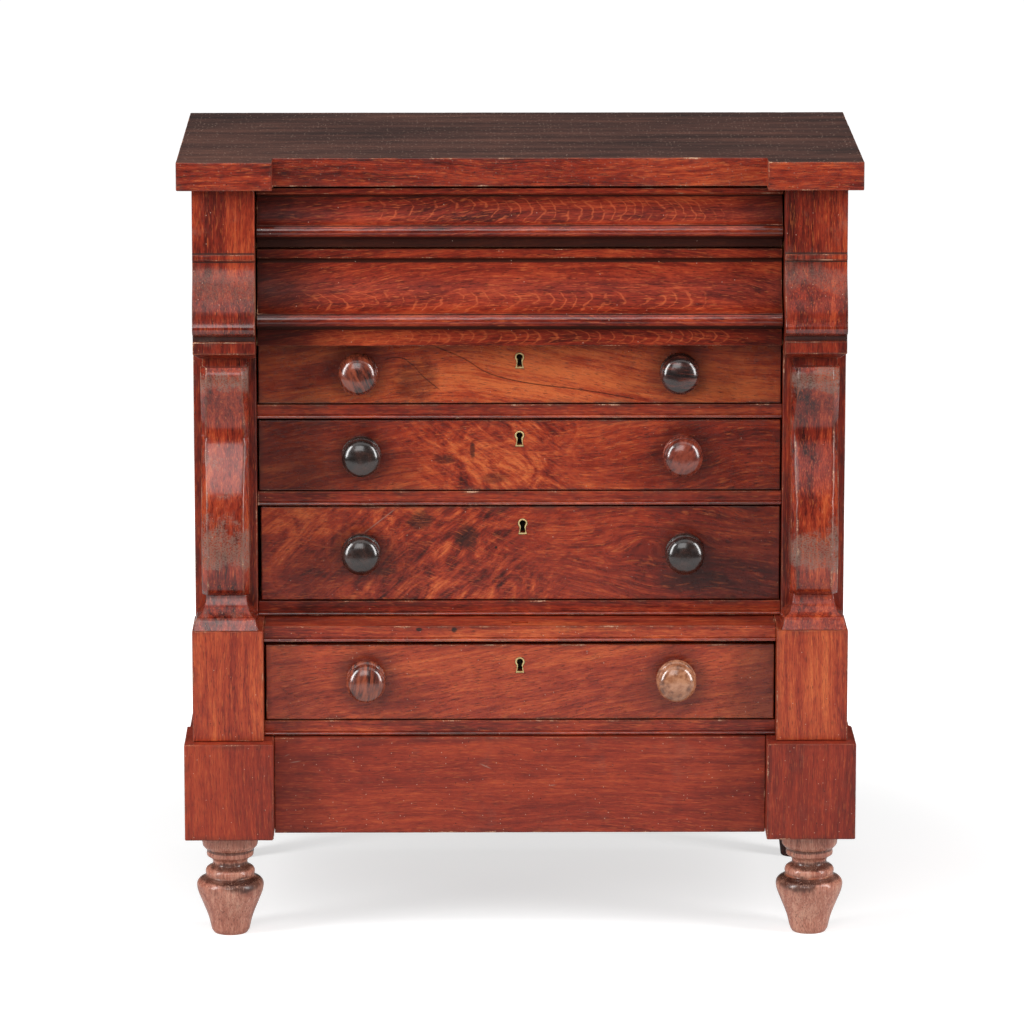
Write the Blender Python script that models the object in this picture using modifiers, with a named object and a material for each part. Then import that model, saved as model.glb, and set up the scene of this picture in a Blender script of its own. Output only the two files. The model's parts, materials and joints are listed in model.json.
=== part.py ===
"""A miniature chest of drawers in mahogany, of the kind made as a joiner's showpiece.

Metres, +Z up. The front faces -Y, and the origin is on the ground under the middle of the chest.
Six drawers slide out towards -Y, and the four with keyholes each hold a lock with a rising bolt.
Depths in this file are measured back from the face of the plinth blocks, the frontmost plane.
"""

import math

import bmesh
import bpy
from mathutils import Vector

# Whole chest
DEPTH = 0.272
TOP_HALF = 0.245
HEIGHT = 0.5688
GAP = 0.0003
PASS = 0.010

# Top board, with ends that stand forward of its middle
TOP_THICK = 0.0206
TOP_END_IN = 0.1767
TOP_END_FRONT = 0.0175
TOP_MID_FRONT = 0.039
TOP_EDGE = 0.0008

# Carcase
SIDE_HALF = 0.2353
SIDE_THICK = 0.0138
STILE_IN = 0.1902
STILE_FRONT = 0.050
STILE_THICK = 0.012
GUIDE_END = 0.258
BACK_FRONT = 0.262
BACK_FOOT_FRONT = 0.231
BACK_EDGE = 0.270
RAIL_FRONT = 0.061
HIDDEN_RAIL_FRONT = 0.0605
BEAD = 0.0012

# Capitals: a frieze block over an ogee corbel
CAPITAL_IN = 0.1898
CAPITAL_OUT = 0.2344
FRIEZE_FRONT = 0.030
CORBEL_TOP = 0.5005
CORBEL_BOTTOM = 0.4254

# Consoles
CONSOLE_MID = 0.2122
CONSOLE_BACK = STILE_FRONT - GAP
# Where the console's outline turns: height, half width, front depth, chamfer. From the top: a
# recessed fillet, the scroll's swell, a hollow waist, a long lower swell that curls under, and
# a moulded foot that flares forward and to both sides.
CONSOLE_PLANS = (
    (0.4250, 0.0160, 0.0330, 0.0004),
    (0.4195, 0.0160, 0.0330, 0.0004),
    (0.4192, 0.0172, 0.0250, 0.0044),
    (0.4150, 0.0172, 0.0225, 0.0045),
    (0.4080, 0.0172, 0.0220, 0.0045),
    (0.4000, 0.0172, 0.0240, 0.0043),
    (0.3900, 0.0172, 0.0285, 0.0038),
    (0.3800, 0.0172, 0.0325, 0.0034),
    (0.3700, 0.0172, 0.0345, 0.0032),
    (0.3600, 0.0172, 0.0340, 0.0032),
    (0.3480, 0.0172, 0.0305, 0.0034),
    (0.3340, 0.0172, 0.0250, 0.0038),
    (0.3200, 0.0172, 0.0205, 0.0042),
    (0.3060, 0.0172, 0.0178, 0.0044),
    (0.2920, 0.0172, 0.0163, 0.0045),
    (0.2780, 0.0172, 0.0160, 0.0045),
    (0.2660, 0.0172, 0.0172, 0.0045),
    (0.2570, 0.0172, 0.0205, 0.0045),
    (0.2526, 0.0172, 0.0250, 0.0044),
    (0.2522, 0.0146, 0.0275, 0.0004),
    (0.2480, 0.0150, 0.0262, 0.0004),
    (0.2440, 0.0160, 0.0240, 0.0004),
    (0.2405, 0.0175, 0.0210, 0.0004),
    (0.2378, 0.0198, 0.0175, 0.0004),
    (0.2374, 0.0212, 0.0155, 0.0004),
    (0.2292, 0.0235, 0.0112, 0.0004),
)

# Base
PEDESTAL_IN = 0.1854
PEDESTAL_OUT = 0.2365
PEDESTAL_FRONT = 0.010
PEDESTAL_LOW = 0.1475
PEDESTAL_HIGH = 0.2289
BASE_RAIL_FRONT = 0.027

# Plinth
PLINTH_LOW = 0.076
PLINTH_HIGH = 0.1472
PLINTH_OUT = 0.2427
PLINTH_IN = 0.1785
PLINTH_BLOCK_DEPTH = 0.058
PLINTH_MID_FRONT = 0.022
PLINTH_MID_THICK = 0.016
PLINTH_SIDE_OUT = 0.2406

# Feet
FOOT_X = 0.2112
FRONT_FOOT_DEPTH = 0.031
BACK_FOOT_DEPTH = 0.2475
DOWEL_RADIUS = 0.006
DOWEL_LENGTH = 0.012
FOOT_STEPS = 28
BACK_FOOT_STEPS = 16

# Drawers
FRONT_THICK = 0.016
OGEE_BACK = 0.060
OGEE_HALF = 0.1887
TRAY_END = 0.250
TRAY_WALL = 0.007
TRAY_FLOOR = 0.004
TRAY_PLAY = 0.0007
TRAY_LOWER = 0.006
FRONT_EDGE = 0.0006

# Knobs, with a stem that passes into the drawer front
KNOB_RADIUS = 0.0145
KNOB_STEM = 0.004
KNOB_STEM_LENGTH = 0.013
KNOB_STEPS = 20

# Locks
PLATE_RADIUS = 0.0034
PLATE_HEIGHT = 0.0116
PLATE_RIM = 0.0011
PLATE_THICK = 0.0015
LOCK_WIDE = 0.026
LOCK_HIGH = 0.024
LOCK_THICK = 0.007
BOLT_WIDE = 0.009
BOLT_HIGH = 0.014
BOLT_THICK = 0.0032
BOLT_PLAY = 0.0004
BOLT_DROP = 0.0006
MORTISE_LONG = 0.012
MORTISE_DEEP = 0.006
MORTISE_HIGH = 0.014

# The four flat-fronted drawers: number, half width, front depth, bottom, top,
# left knob x, right knob x, knob height, keyhole x and keyhole height
FLAT_DRAWERS = (
    (1, 0.1892, 0.062, 0.3859, 0.4293, -0.1166, 0.1156, 0.4092, 0.0, 0.4176),
    (2, 0.1892, 0.062, 0.3218, 0.3738, -0.1146, 0.1181, 0.3485, 0.0, 0.3600),
    (3, 0.1892, 0.062, 0.2405, 0.3099, -0.1151, 0.1201, 0.2763, 0.0023, 0.2950),
    (4, 0.1842, 0.028, 0.1592, 0.2148, -0.1114, 0.1131, 0.1896, 0.0, 0.1996),
)
# The two moulded drawers: name, tray bottom and tray top
OGEE_DRAWERS = (("upper", 0.5043, 0.5400), ("lower", 0.4362, 0.4900))

# Rails that show between the drawers: name, half width, front depth, bottom, top
RAILS = (
    ("rail_1", STILE_IN - GAP, RAIL_FRONT, 0.3753, 0.3853),
    ("rail_2", STILE_IN - GAP, RAIL_FRONT, 0.3112, 0.3212),
    ("rail_3", STILE_IN - GAP, RAIL_FRONT, 0.2292, 0.2399),
    ("base_top_board", PEDESTAL_IN - GAP, BASE_RAIL_FRONT, 0.2173, 0.2286),
    ("base_bottom_board", PEDESTAL_IN - GAP, BASE_RAIL_FRONT, 0.1478, 0.1586),
)
# Dust boards behind the moulded drawers: name, bottom, top
DUST_BOARDS = (("frieze_dust_board", 0.4990, 0.5040), ("ogee_dust_board", 0.4298, 0.4358))

RED_MAHOGANY = (0.250, 0.045, 0.018)
DARK_MAHOGANY = (0.090, 0.030, 0.020)
PINE = (0.400, 0.240, 0.110)
BRASS = (0.500, 0.340, 0.120)
IRON = (0.080, 0.075, 0.070)
KNOB_RED = (0.180, 0.035, 0.020)
KNOB_BLACK = (0.020, 0.010, 0.008)
KNOB_TAN = (0.400, 0.130, 0.045)
KNOB_COLOURS = {
    (1, "left"): KNOB_RED,
    (1, "right"): KNOB_BLACK,
    (2, "left"): KNOB_BLACK,
    (2, "right"): KNOB_RED,
    (3, "left"): KNOB_BLACK,
    (3, "right"): KNOB_BLACK,
    (4, "left"): KNOB_RED,
    (4, "right"): KNOB_TAN,
}


def at(depth):
    """The y of a depth behind the plinth blocks' face."""
    return depth - DEPTH / 2


def clear_scene():
    for obj in list(bpy.data.objects):
        bpy.data.objects.remove(obj, do_unlink=True)


def new_collection(name):
    made = bpy.data.collections.new(name)
    bpy.context.scene.collection.children.link(made)
    return made


def finish_of(name, colour, roughness=0.35, metallic=0.0):
    material = bpy.data.materials.new(name)
    material.use_nodes = True
    shader = material.node_tree.nodes["Principled BSDF"]
    shader.inputs["Base Color"].default_value = (*colour, 1.0)
    shader.inputs["Roughness"].default_value = roughness
    shader.inputs["Metallic"].default_value = metallic
    return material


def mesh_object(name, bm, collection):
    mesh = bpy.data.meshes.new(name)
    bm.to_mesh(mesh)
    bm.free()
    obj = bpy.data.objects.new(name, mesh)
    collection.objects.link(obj)
    return obj


def block(name, low, high, collection):
    """A box between two corners, its origin at its middle."""
    low, high = Vector(low), Vector(high)
    bm = bmesh.new()
    bmesh.ops.create_cube(bm, size=1.0)
    bmesh.ops.scale(bm, vec=high - low, verts=bm.verts)
    obj = mesh_object(name, bm, collection)
    obj.location = (low + high) / 2
    return obj


def paint(obj, colour, roughness=0.35, metallic=0.0):
    obj.data.materials.append(finish_of(obj.name + "_finish", colour, roughness, metallic))
    return obj


def soften(obj, width):
    bevel = obj.modifiers.new("softened_edges", "BEVEL")
    bevel.width = width
    bevel.segments = 1
    bevel.limit_method = "ANGLE"
    return obj


def cut(obj, cutter):
    boolean = obj.modifiers.new("cut_" + cutter.name, "BOOLEAN")
    boolean.operation = "DIFFERENCE"
    boolean.object = cutter


def hide_cutter(obj):
    obj.hide_render = True
    obj.display_type = "WIRE"
    return obj


def outline_solid(name, outlines, thickness, collection):
    """A flat outline, with holes where outlines nest, given its thickness either side of its plane."""
    curve = bpy.data.curves.new(name, "CURVE")
    curve.dimensions = "2D"
    curve.fill_mode = "BOTH"
    curve.extrude = thickness / 2
    for points in outlines:
        spline = curve.splines.new("POLY")
        spline.points.add(len(points) - 1)
        for point, (u, v) in zip(spline.points, points):
            point.co = (u, v, 0, 1)
        spline.use_cyclic_u = True
    guide = bpy.data.objects.new(name + "_curve", curve)
    collection.objects.link(guide)
    bpy.context.view_layer.update()
    graph = bpy.context.evaluated_depsgraph_get()
    mesh = bpy.data.meshes.new_from_object(guide.evaluated_get(graph))
    mesh.name = name
    bpy.data.objects.remove(guide, do_unlink=True)
    bm = bmesh.new()
    bm.from_mesh(mesh)
    bmesh.ops.remove_doubles(bm, verts=bm.verts, dist=0.000005)
    bmesh.ops.recalc_face_normals(bm, faces=bm.faces)
    bm.to_mesh(mesh)
    bm.free()
    obj = bpy.data.objects.new(name, mesh)
    collection.objects.link(obj)
    return obj


def moulding(name, profile, x_low, x_high, collection):
    """A length of moulding along X. The profile's points are (depth, height)."""
    obj = outline_solid(name, [profile], x_high - x_low, collection)
    obj.rotation_euler = (math.pi / 2, 0, math.pi / 2)
    obj.location = ((x_low + x_high) / 2, at(0), 0)
    return obj


def upright(name, plan, low, high, collection):
    """A vertical piece of constant plan. The plan's points are (x, depth)."""
    obj = outline_solid(name, [plan], high - low, collection)
    obj.location = (0, at(0), (low + high) / 2)
    return obj


def turned(name, profile, steps, collection):
    """A turned shape round Z. The profile's points are (radius, height), from top to bottom."""
    bm = bmesh.new()
    points = [bm.verts.new((radius, 0, height)) for radius, height in profile]
    for first, second in zip(points, points[1:]):
        bm.edges.new((first, second))
    obj = mesh_object(name, bm, collection)
    screw = obj.modifiers.new("turning", "SCREW")
    screw.axis = "Z"
    screw.angle = math.tau
    screw.steps = steps
    screw.render_steps = steps
    screw.use_merge_vertices = True
    screw.merge_threshold = 0.00001
    screw.use_smooth_shade = True
    return obj


def mirrored(side, plan):
    """The plan's points on the side asked for, left or right."""
    return [(x * side, depth) for x, depth in plan]


def x_span(side, inner, outer):
    return (inner, outer) if side > 0 else (-outer, -inner)


def arc(centre, radius, start, end, count):
    """Points on a circular arc between two angles in degrees."""
    points = []
    for i in range(count + 1):
        angle = math.radians(start + (end - start) * i / count)
        points.append((centre[0] + radius * math.cos(angle), centre[1] + radius * math.sin(angle)))
    return points


def hollow(start, end, count):
    """Points on a quarter hollow that drops straight down from start and runs out level at end."""
    points = []
    for i in range(count + 1):
        turn = math.pi / 2 * i / count
        along = 1 - math.cos(turn)
        down = math.sin(turn)
        points.append((start[0] + (end[0] - start[0]) * along, start[1] + (end[1] - start[1]) * down))
    return points


def ogee(start, end, count):
    """Points on a double curve that is upright at both ends and slopes forward between."""
    points = []
    for i in range(count + 1):
        along = (1 - math.cos(math.pi * i / count)) / 2
        points.append((start[0] + (end[0] - start[0]) * along, start[1] + (end[1] - start[1]) * i / count))
    return points


def beaded_rail(name, half, front, low, high, collection):
    """A board across the chest whose front edge has a bead along its foot."""
    bead = arc((front, low + BEAD), BEAD, 270, 90, 6)
    profile = bead + [(front + BEAD / 2, low + 2 * BEAD), (front + BEAD / 2, high)]
    profile += [(GUIDE_END, high), (GUIDE_END, low)]
    return moulding(name, profile, -half, half, collection)


def make_top(parts):
    plan = [
        (TOP_HALF, TOP_END_FRONT),
        (TOP_HALF, DEPTH),
        (-TOP_HALF, DEPTH),
        (-TOP_HALF, TOP_END_FRONT),
        (-TOP_END_IN, TOP_END_FRONT),
        (-TOP_END_IN, TOP_MID_FRONT),
        (TOP_END_IN, TOP_MID_FRONT),
        (TOP_END_IN, TOP_END_FRONT),
    ]
    top = upright("top_board", plan, HEIGHT - TOP_THICK, HEIGHT, parts)
    soften(top, TOP_EDGE)
    paint(top, DARK_MAHOGANY, 0.3)


def make_carcase(parts):
    under_top = HEIGHT - TOP_THICK - GAP
    for side, word in ((-1, "left"), (1, "right")):
        x = x_span(side, SIDE_HALF - SIDE_THICK, SIDE_HALF)
        low = (x[0], at(STILE_FRONT + STILE_THICK + GAP), PLINTH_LOW)
        board = block("side_" + word, low, (x[1], at(DEPTH), under_top), parts)
        paint(board, RED_MAHOGANY)
        guide = STILE_IN + STILE_THICK
        plan = [
            (STILE_IN, STILE_FRONT),
            (SIDE_HALF, STILE_FRONT),
            (SIDE_HALF, STILE_FRONT + STILE_THICK),
            (guide, STILE_FRONT + STILE_THICK),
            (guide, GUIDE_END),
            (STILE_IN, GUIDE_END),
        ]
        low = PEDESTAL_HIGH + GAP
        stile = upright("pilaster_" + word, mirrored(side, plan), low, under_top, parts)
        paint(stile, RED_MAHOGANY)
    back_half = SIDE_HALF - SIDE_THICK - GAP
    profile = [
        (BACK_FOOT_FRONT, PLINTH_LOW),
        (BACK_EDGE, PLINTH_LOW),
        (BACK_EDGE, under_top),
        (BACK_FRONT, under_top),
        (BACK_FRONT, PLINTH_HIGH),
        (BACK_FOOT_FRONT, PLINTH_HIGH),
    ]
    paint(moulding("back_board", profile, -back_half, back_half, parts), PINE, 0.7)


def make_rails(parts):
    for name, half, front, low, high in RAILS:
        paint(beaded_rail(name, half, front, low, high, parts), RED_MAHOGANY)
    for name, low, high in DUST_BOARDS:
        half = STILE_IN - GAP
        board = block(name, (-half, at(HIDDEN_RAIL_FRONT), low), (half, at(GUIDE_END), high), parts)
        paint(board, PINE, 0.7)


def make_capitals(parts):
    """A frieze block with an ogee corbel below: fillet, hollow sweep, nose, flat band and splay."""
    under_top = HEIGHT - TOP_THICK - GAP
    profile = [(CONSOLE_BACK, CORBEL_BOTTOM), (CONSOLE_BACK, under_top), (FRIEZE_FRONT, under_top)]
    profile += [(FRIEZE_FRONT, CORBEL_TOP), (0.0285, CORBEL_TOP), (0.0285, 0.4962), (0.0305, 0.4955)]
    profile += ogee((0.0305, 0.4940), (0.0160, 0.4560), 10)
    profile += arc((0.0200, 0.4490), 0.0055, 160, 270, 5)
    profile += [(0.0225, 0.4400), (0.0225, 0.4385), (0.0215, 0.4380), (0.0215, 0.4295)]
    profile.append((0.0280, CORBEL_BOTTOM))
    for side, word in ((-1, "left"), (1, "right")):
        x = x_span(side, CAPITAL_IN, CAPITAL_OUT)
        paint(moulding("capital_" + word, profile, *x, parts), RED_MAHOGANY)


def make_consoles(parts):
    """Each console is lofted through six-cornered plans, one for each row of CONSOLE_PLANS."""
    for side, word in ((-1, "left"), (1, "right")):
        middle = side * CONSOLE_MID
        bm = bmesh.new()
        rings = []
        for height, half, front, chamfer in CONSOLE_PLANS:
            corners = (
                (-half, CONSOLE_BACK),
                (-half, front + chamfer),
                (-half + chamfer, front),
                (half - chamfer, front),
                (half, front + chamfer),
                (half, CONSOLE_BACK),
            )
            rings.append([bm.verts.new((middle + x, at(depth), height)) for x, depth in corners])
        for upper, lower in zip(rings, rings[1:]):
            for i in range(len(upper)):
                j = (i + 1) % len(upper)
                bm.faces.new((upper[i], upper[j], lower[j], lower[i]))
        bm.faces.new(rings[0])
        bm.faces.new(rings[-1])
        bmesh.ops.recalc_face_normals(bm, faces=bm.faces)
        paint(mesh_object("console_" + word, bm, parts), RED_MAHOGANY)


def make_base(parts):
    guide = PEDESTAL_IN + STILE_THICK
    for side, word in ((-1, "left"), (1, "right")):
        plan = [
            (PEDESTAL_IN, PEDESTAL_FRONT),
            (PEDESTAL_OUT, PEDESTAL_FRONT),
            (PEDESTAL_OUT, STILE_FRONT + STILE_THICK),
            (guide, STILE_FRONT + STILE_THICK),
            (guide, GUIDE_END),
            (PEDESTAL_IN, GUIDE_END),
        ]
        name = "pedestal_" + word
        paint(upright(name, mirrored(side, plan), PEDESTAL_LOW, PEDESTAL_HIGH, parts), RED_MAHOGANY)


def make_plinth(parts, cutters):
    for side, word in ((-1, "left"), (1, "right")):
        x = x_span(side, PLINTH_IN, PLINTH_OUT)
        low = (x[0], at(0), PLINTH_LOW)
        high = (x[1], at(PLINTH_BLOCK_DEPTH), PLINTH_HIGH)
        plinth = soften(block("plinth_block_" + word, low, high, parts), TOP_EDGE)
        cut(plinth, dowel_hole("front_dowel_" + word, side, FRONT_FOOT_DEPTH, cutters))
        paint(plinth, RED_MAHOGANY)
        x = x_span(side, SIDE_HALF + GAP, PLINTH_SIDE_OUT)
        low = (x[0], at(PLINTH_BLOCK_DEPTH + GAP), PLINTH_LOW)
        facing = block("plinth_side_" + word, low, (x[1], at(DEPTH), PLINTH_HIGH), parts)
        paint(facing, RED_MAHOGANY)
        cut(bpy.data.objects["back_board"], dowel_hole("back_dowel_" + word, side, BACK_FOOT_DEPTH, cutters))
    half = PLINTH_IN - GAP
    low = (-half, at(PLINTH_MID_FRONT), PLINTH_LOW)
    board = block("plinth_front", low, (half, at(PLINTH_MID_FRONT + PLINTH_MID_THICK), PLINTH_HIGH), parts)
    paint(board, RED_MAHOGANY)


def dowel_hole(name, side, depth, cutters):
    """The blind hole that takes a foot's dowel."""
    radius = DOWEL_RADIUS + GAP
    top = PLINTH_LOW + DOWEL_LENGTH + GAP
    profile = [(0, top), (radius, top), (radius, PLINTH_LOW - PASS), (0, PLINTH_LOW - PASS)]
    hole = hide_cutter(turned(name, profile, BACK_FOOT_STEPS, cutters))
    hole.location = (side * FOOT_X, at(depth), 0)
    return hole


def make_feet(parts):
    """Front feet: ringed neck over a swelling bulb. Back feet: plain tapers that don't show."""
    top = PLINTH_LOW - GAP
    dowel = [(0, top + DOWEL_LENGTH), (DOWEL_RADIUS, top + DOWEL_LENGTH), (DOWEL_RADIUS, top)]
    front = dowel + [
        (0.0212, top),
        (0.0178, 0.0608),
        (0.0180, 0.0588),
        (0.0135, 0.0550),
        (0.0127, 0.0525),
        (0.0172, 0.0475),
        (0.0175, 0.0452),
        (0.0188, 0.0425),
        (0.0225, 0.0385),
        (0.0244, 0.0330),
        (0.0240, 0.0290),
        (0.0200, 0.0212),
        (0.0165, 0.0122),
        (0.0138, 0.0024),
        (0.0122, 0),
        (0, 0),
    ]
    back = dowel + [(0.0140, top), (0.0128, 0.0300), (0.0095, 0), (0, 0)]
    for side, word in ((-1, "left"), (1, "right")):
        foot = paint(turned("front_foot_" + word, front, FOOT_STEPS, parts), RED_MAHOGANY)
        foot.location = (side * FOOT_X, at(FRONT_FOOT_DEPTH), 0)
        foot = paint(turned("back_foot_" + word, back, BACK_FOOT_STEPS, parts), DARK_MAHOGANY)
        foot.location = (side * FOOT_X, at(BACK_FOOT_DEPTH), 0)


def make_tray(name, half, front, low, high, parts, cutters):
    """The drawer's sides, back and bottom, open above and towards the drawer front."""
    tray = block(name, (-half, at(front), low), (half, at(TRAY_END), high), parts)
    inner = half - TRAY_WALL
    hollow = block(
        name + "_hollow",
        (-inner, at(front) - PASS, low + TRAY_FLOOR),
        (inner, at(TRAY_END - TRAY_WALL), high + PASS),
        cutters,
    )
    cut(tray, hide_cutter(hollow))
    return paint(tray, PINE, 0.7)


def make_knob(name, x, front, height, colour, parts):
    """A turned knob: domed face, neck, wide back ring, and the stem that enters the drawer front."""
    profile = [
        (0, 0.0222),
        (0.0046, 0.0219),
        (0.0088, 0.0207),
        (0.0118, 0.0188),
        (0.0132, 0.0164),
        (0.0135, 0.0148),
        (0.0130, 0.0128),
        (0.0119, 0.0108),
        (0.0111, 0.0092),
        (0.0113, 0.0080),
        (0.0128, 0.0070),
        (0.0141, 0.0055),
        (KNOB_RADIUS, 0.0036),
        (0.0142, 0.0016),
        (0.0134, GAP),
        (KNOB_STEM, GAP),
        (KNOB_STEM, -KNOB_STEM_LENGTH),
        (0, -KNOB_STEM_LENGTH),
    ]
    knob = turned(name, profile, KNOB_STEPS, parts)
    knob.rotation_euler = (math.pi / 2, 0, 0)
    knob.location = (x, at(front), height)
    return paint(knob, colour, 0.15)


def keyhole(radius, height, flare):
    """The outline of a keyhole about its middle: a round head over a shank that widens to a flat foot."""
    head = height / 2 - radius
    neck = radius * 0.62
    start = math.degrees(math.asin(-0.70))
    points = arc((0, head), radius, start, 180 - start, 12)
    points += [(-neck, head - radius * 1.25), (-flare, -height / 2)]
    points += [(flare, -height / 2), (neck, head - radius * 1.25)]
    return points


def stand_up(obj, x, depth, height):
    """Turns a flat outline upright, facing the front, with its middle at the depth given."""
    obj.rotation_euler = (math.pi / 2, 0, 0)
    obj.location = (x, at(depth), height)
    return obj


def make_lock(number, front_board, x, front, top, height, parts, cutters):
    """A keyhole plate let into the front, and a lock case behind it with a bolt that rises."""
    name = "keyhole_plate_%d" % number
    outer = keyhole(PLATE_RADIUS, PLATE_HEIGHT, PLATE_RADIUS * 0.92)
    hole = keyhole(PLATE_RADIUS - PLATE_RIM, PLATE_HEIGHT - 2 * PLATE_RIM, PLATE_RADIUS * 0.92 - PLATE_RIM)
    plate = outline_solid(name, [outer, hole], PLATE_THICK, parts)
    stand_up(plate, x, front + PLATE_THICK / 2, height)
    paint(plate, BRASS, 0.3, 1.0)

    seat = keyhole(PLATE_RADIUS + GAP, PLATE_HEIGHT + 2 * GAP, PLATE_RADIUS * 0.92 + GAP)
    recess = outline_solid("plate_seat_%d" % number, [seat], 2 * (PLATE_THICK + GAP), cutters)
    cut(front_board, hide_cutter(stand_up(recess, x, front, height)))
    shaft = outline_solid("key_way_%d" % number, [hole], 2 * FRONT_THICK, cutters)
    cut(front_board, hide_cutter(stand_up(shaft, x, front, height)))

    back = front + FRONT_THICK
    half = LOCK_WIDE / 2
    case_low = (x - half, at(back - LOCK_THICK), top - LOCK_HIGH)
    case = block("lock_case_%d" % number, case_low, (x + half, at(back), top - BOLT_DROP), parts)
    pocket = block(
        "lock_pocket_%d" % number,
        (x - half - GAP, at(back - LOCK_THICK - GAP), top - LOCK_HIGH - GAP),
        (x + half + GAP, at(back) + PASS, top + PASS),
        cutters,
    )
    cut(front_board, hide_cutter(pocket))
    middle = back - LOCK_THICK / 2
    wide = BOLT_WIDE / 2
    thick = BOLT_THICK / 2
    bolt_top = top - BOLT_DROP
    bolt = block(
        "lock_bolt_%d" % number,
        (x - wide, at(middle - thick), bolt_top - BOLT_HIGH),
        (x + wide, at(middle + thick), bolt_top),
        parts,
    )
    slot = block(
        "bolt_slot_%d" % number,
        (x - wide - BOLT_PLAY, at(middle - thick - BOLT_PLAY), bolt_top - BOLT_HIGH - BOLT_PLAY),
        (x + wide + BOLT_PLAY, at(middle + thick + BOLT_PLAY), top + PASS),
        cutters,
    )
    cut(case, hide_cutter(slot))
    paint(case, BRASS, 0.45, 1.0)
    paint(bolt, IRON, 0.4, 1.0)
    return middle


def cut_mortise(name, x, depth, drawer_top, cutters):
    """The slot in the board above a drawer that its bolt rises into."""
    low = (x - MORTISE_LONG / 2, at(depth - MORTISE_DEEP / 2), drawer_top)
    high = (x + MORTISE_LONG / 2, at(depth + MORTISE_DEEP / 2), drawer_top + MORTISE_HIGH)
    cut(bpy.data.objects[name], hide_cutter(block("mortise_" + name, low, high, cutters)))


def make_flat_drawer(row, parts, cutters):
    number, half, front, low, high, left_x, right_x, knob_z, key_x, key_z = row
    board = block(
        "drawer_%d_front" % number,
        (-half, at(front), low),
        (half, at(front + FRONT_THICK), high),
        parts,
    )
    soften(board, FRONT_EDGE)
    for x, word in ((left_x, "left"), (right_x, "right")):
        name = "drawer_%d_knob_%s" % (number, word)
        make_knob(name, x, front, knob_z, KNOB_COLOURS[number, word], parts)
        radius = KNOB_STEM + GAP
        profile = [(0, PASS), (radius, PASS), (radius, -2 * PASS), (0, -2 * PASS)]
        hole = hide_cutter(turned("stem_hole_%d_%s" % (number, word), profile, BACK_FOOT_STEPS, cutters))
        stand_up(hole, x, front, knob_z)
        cut(board, hole)
    bolt_depth = make_lock(number, board, key_x, front, high, key_z, parts, cutters)
    paint(board, RED_MAHOGANY)
    back = front + FRONT_THICK + GAP
    tray_half = half - TRAY_PLAY
    make_tray("drawer_%d_tray" % number, tray_half, back, low, high - TRAY_LOWER, parts, cutters)
    return key_x, bolt_depth, high


def ogee_profiles():
    """Front profiles of the two moulded drawers, as (depth, height) points from the back foot round."""
    upper = [(OGEE_BACK, 0.5026), (OGEE_BACK, 0.5464), (0.0420, 0.5464), (0.0420, 0.5425), (0.0440, 0.5418)]
    upper += hollow((0.0500, 0.5400), (0.0428, 0.5200), 8)
    upper += arc((0.0455, 0.5150), 0.0050, 130, 250, 6)
    upper += [(0.0490, 0.5085), (0.0500, 0.5026)]
    lower = [(OGEE_BACK, 0.4319), (OGEE_BACK, 0.5010), (0.0500, 0.5010), (0.0500, 0.4948), (0.0520, 0.4938)]
    lower += hollow((0.0535, 0.4920), (0.0335, 0.4570), 9)
    lower += arc((0.0380, 0.4515), 0.0062, 135, 262, 6)
    lower += [(0.0420, 0.4448), (0.0420, 0.4319)]
    return {"upper": upper, "lower": lower}


def make_ogee_drawers(parts, cutters):
    profiles = ogee_profiles()
    for word, low, high in OGEE_DRAWERS:
        name = "frieze_drawer_" + word
        front = moulding(name + "_front", profiles[word], -OGEE_HALF, OGEE_HALF, parts)
        paint(front, RED_MAHOGANY)
        make_tray(name + "_tray", OGEE_HALF, OGEE_BACK + GAP, low, high, parts, cutters)


def main():
    clear_scene()
    parts = new_collection("miniature_chest_of_drawers")
    cutters = new_collection("cutters")
    cutters.hide_render = True
    make_top(parts)
    make_carcase(parts)
    make_rails(parts)
    make_capitals(parts)
    make_consoles(parts)
    make_base(parts)
    make_plinth(parts, cutters)
    make_feet(parts)
    make_ogee_drawers(parts, cutters)
    boards_above = ("ogee_dust_board", "rail_1", "rail_2", "base_top_board")
    for row, board in zip(FLAT_DRAWERS, boards_above):
        key_x, bolt_depth, drawer_top = make_flat_drawer(row, parts, cutters)
        cut_mortise(board, key_x, bolt_depth, drawer_top, cutters)


main()
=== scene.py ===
"""A miniature mahogany chest of drawers, finished over its fixed frame.

Metres, +Z up, the front towards -Y. Depths are measured back from the face of the plinth blocks.
"""

import json
import math

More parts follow.
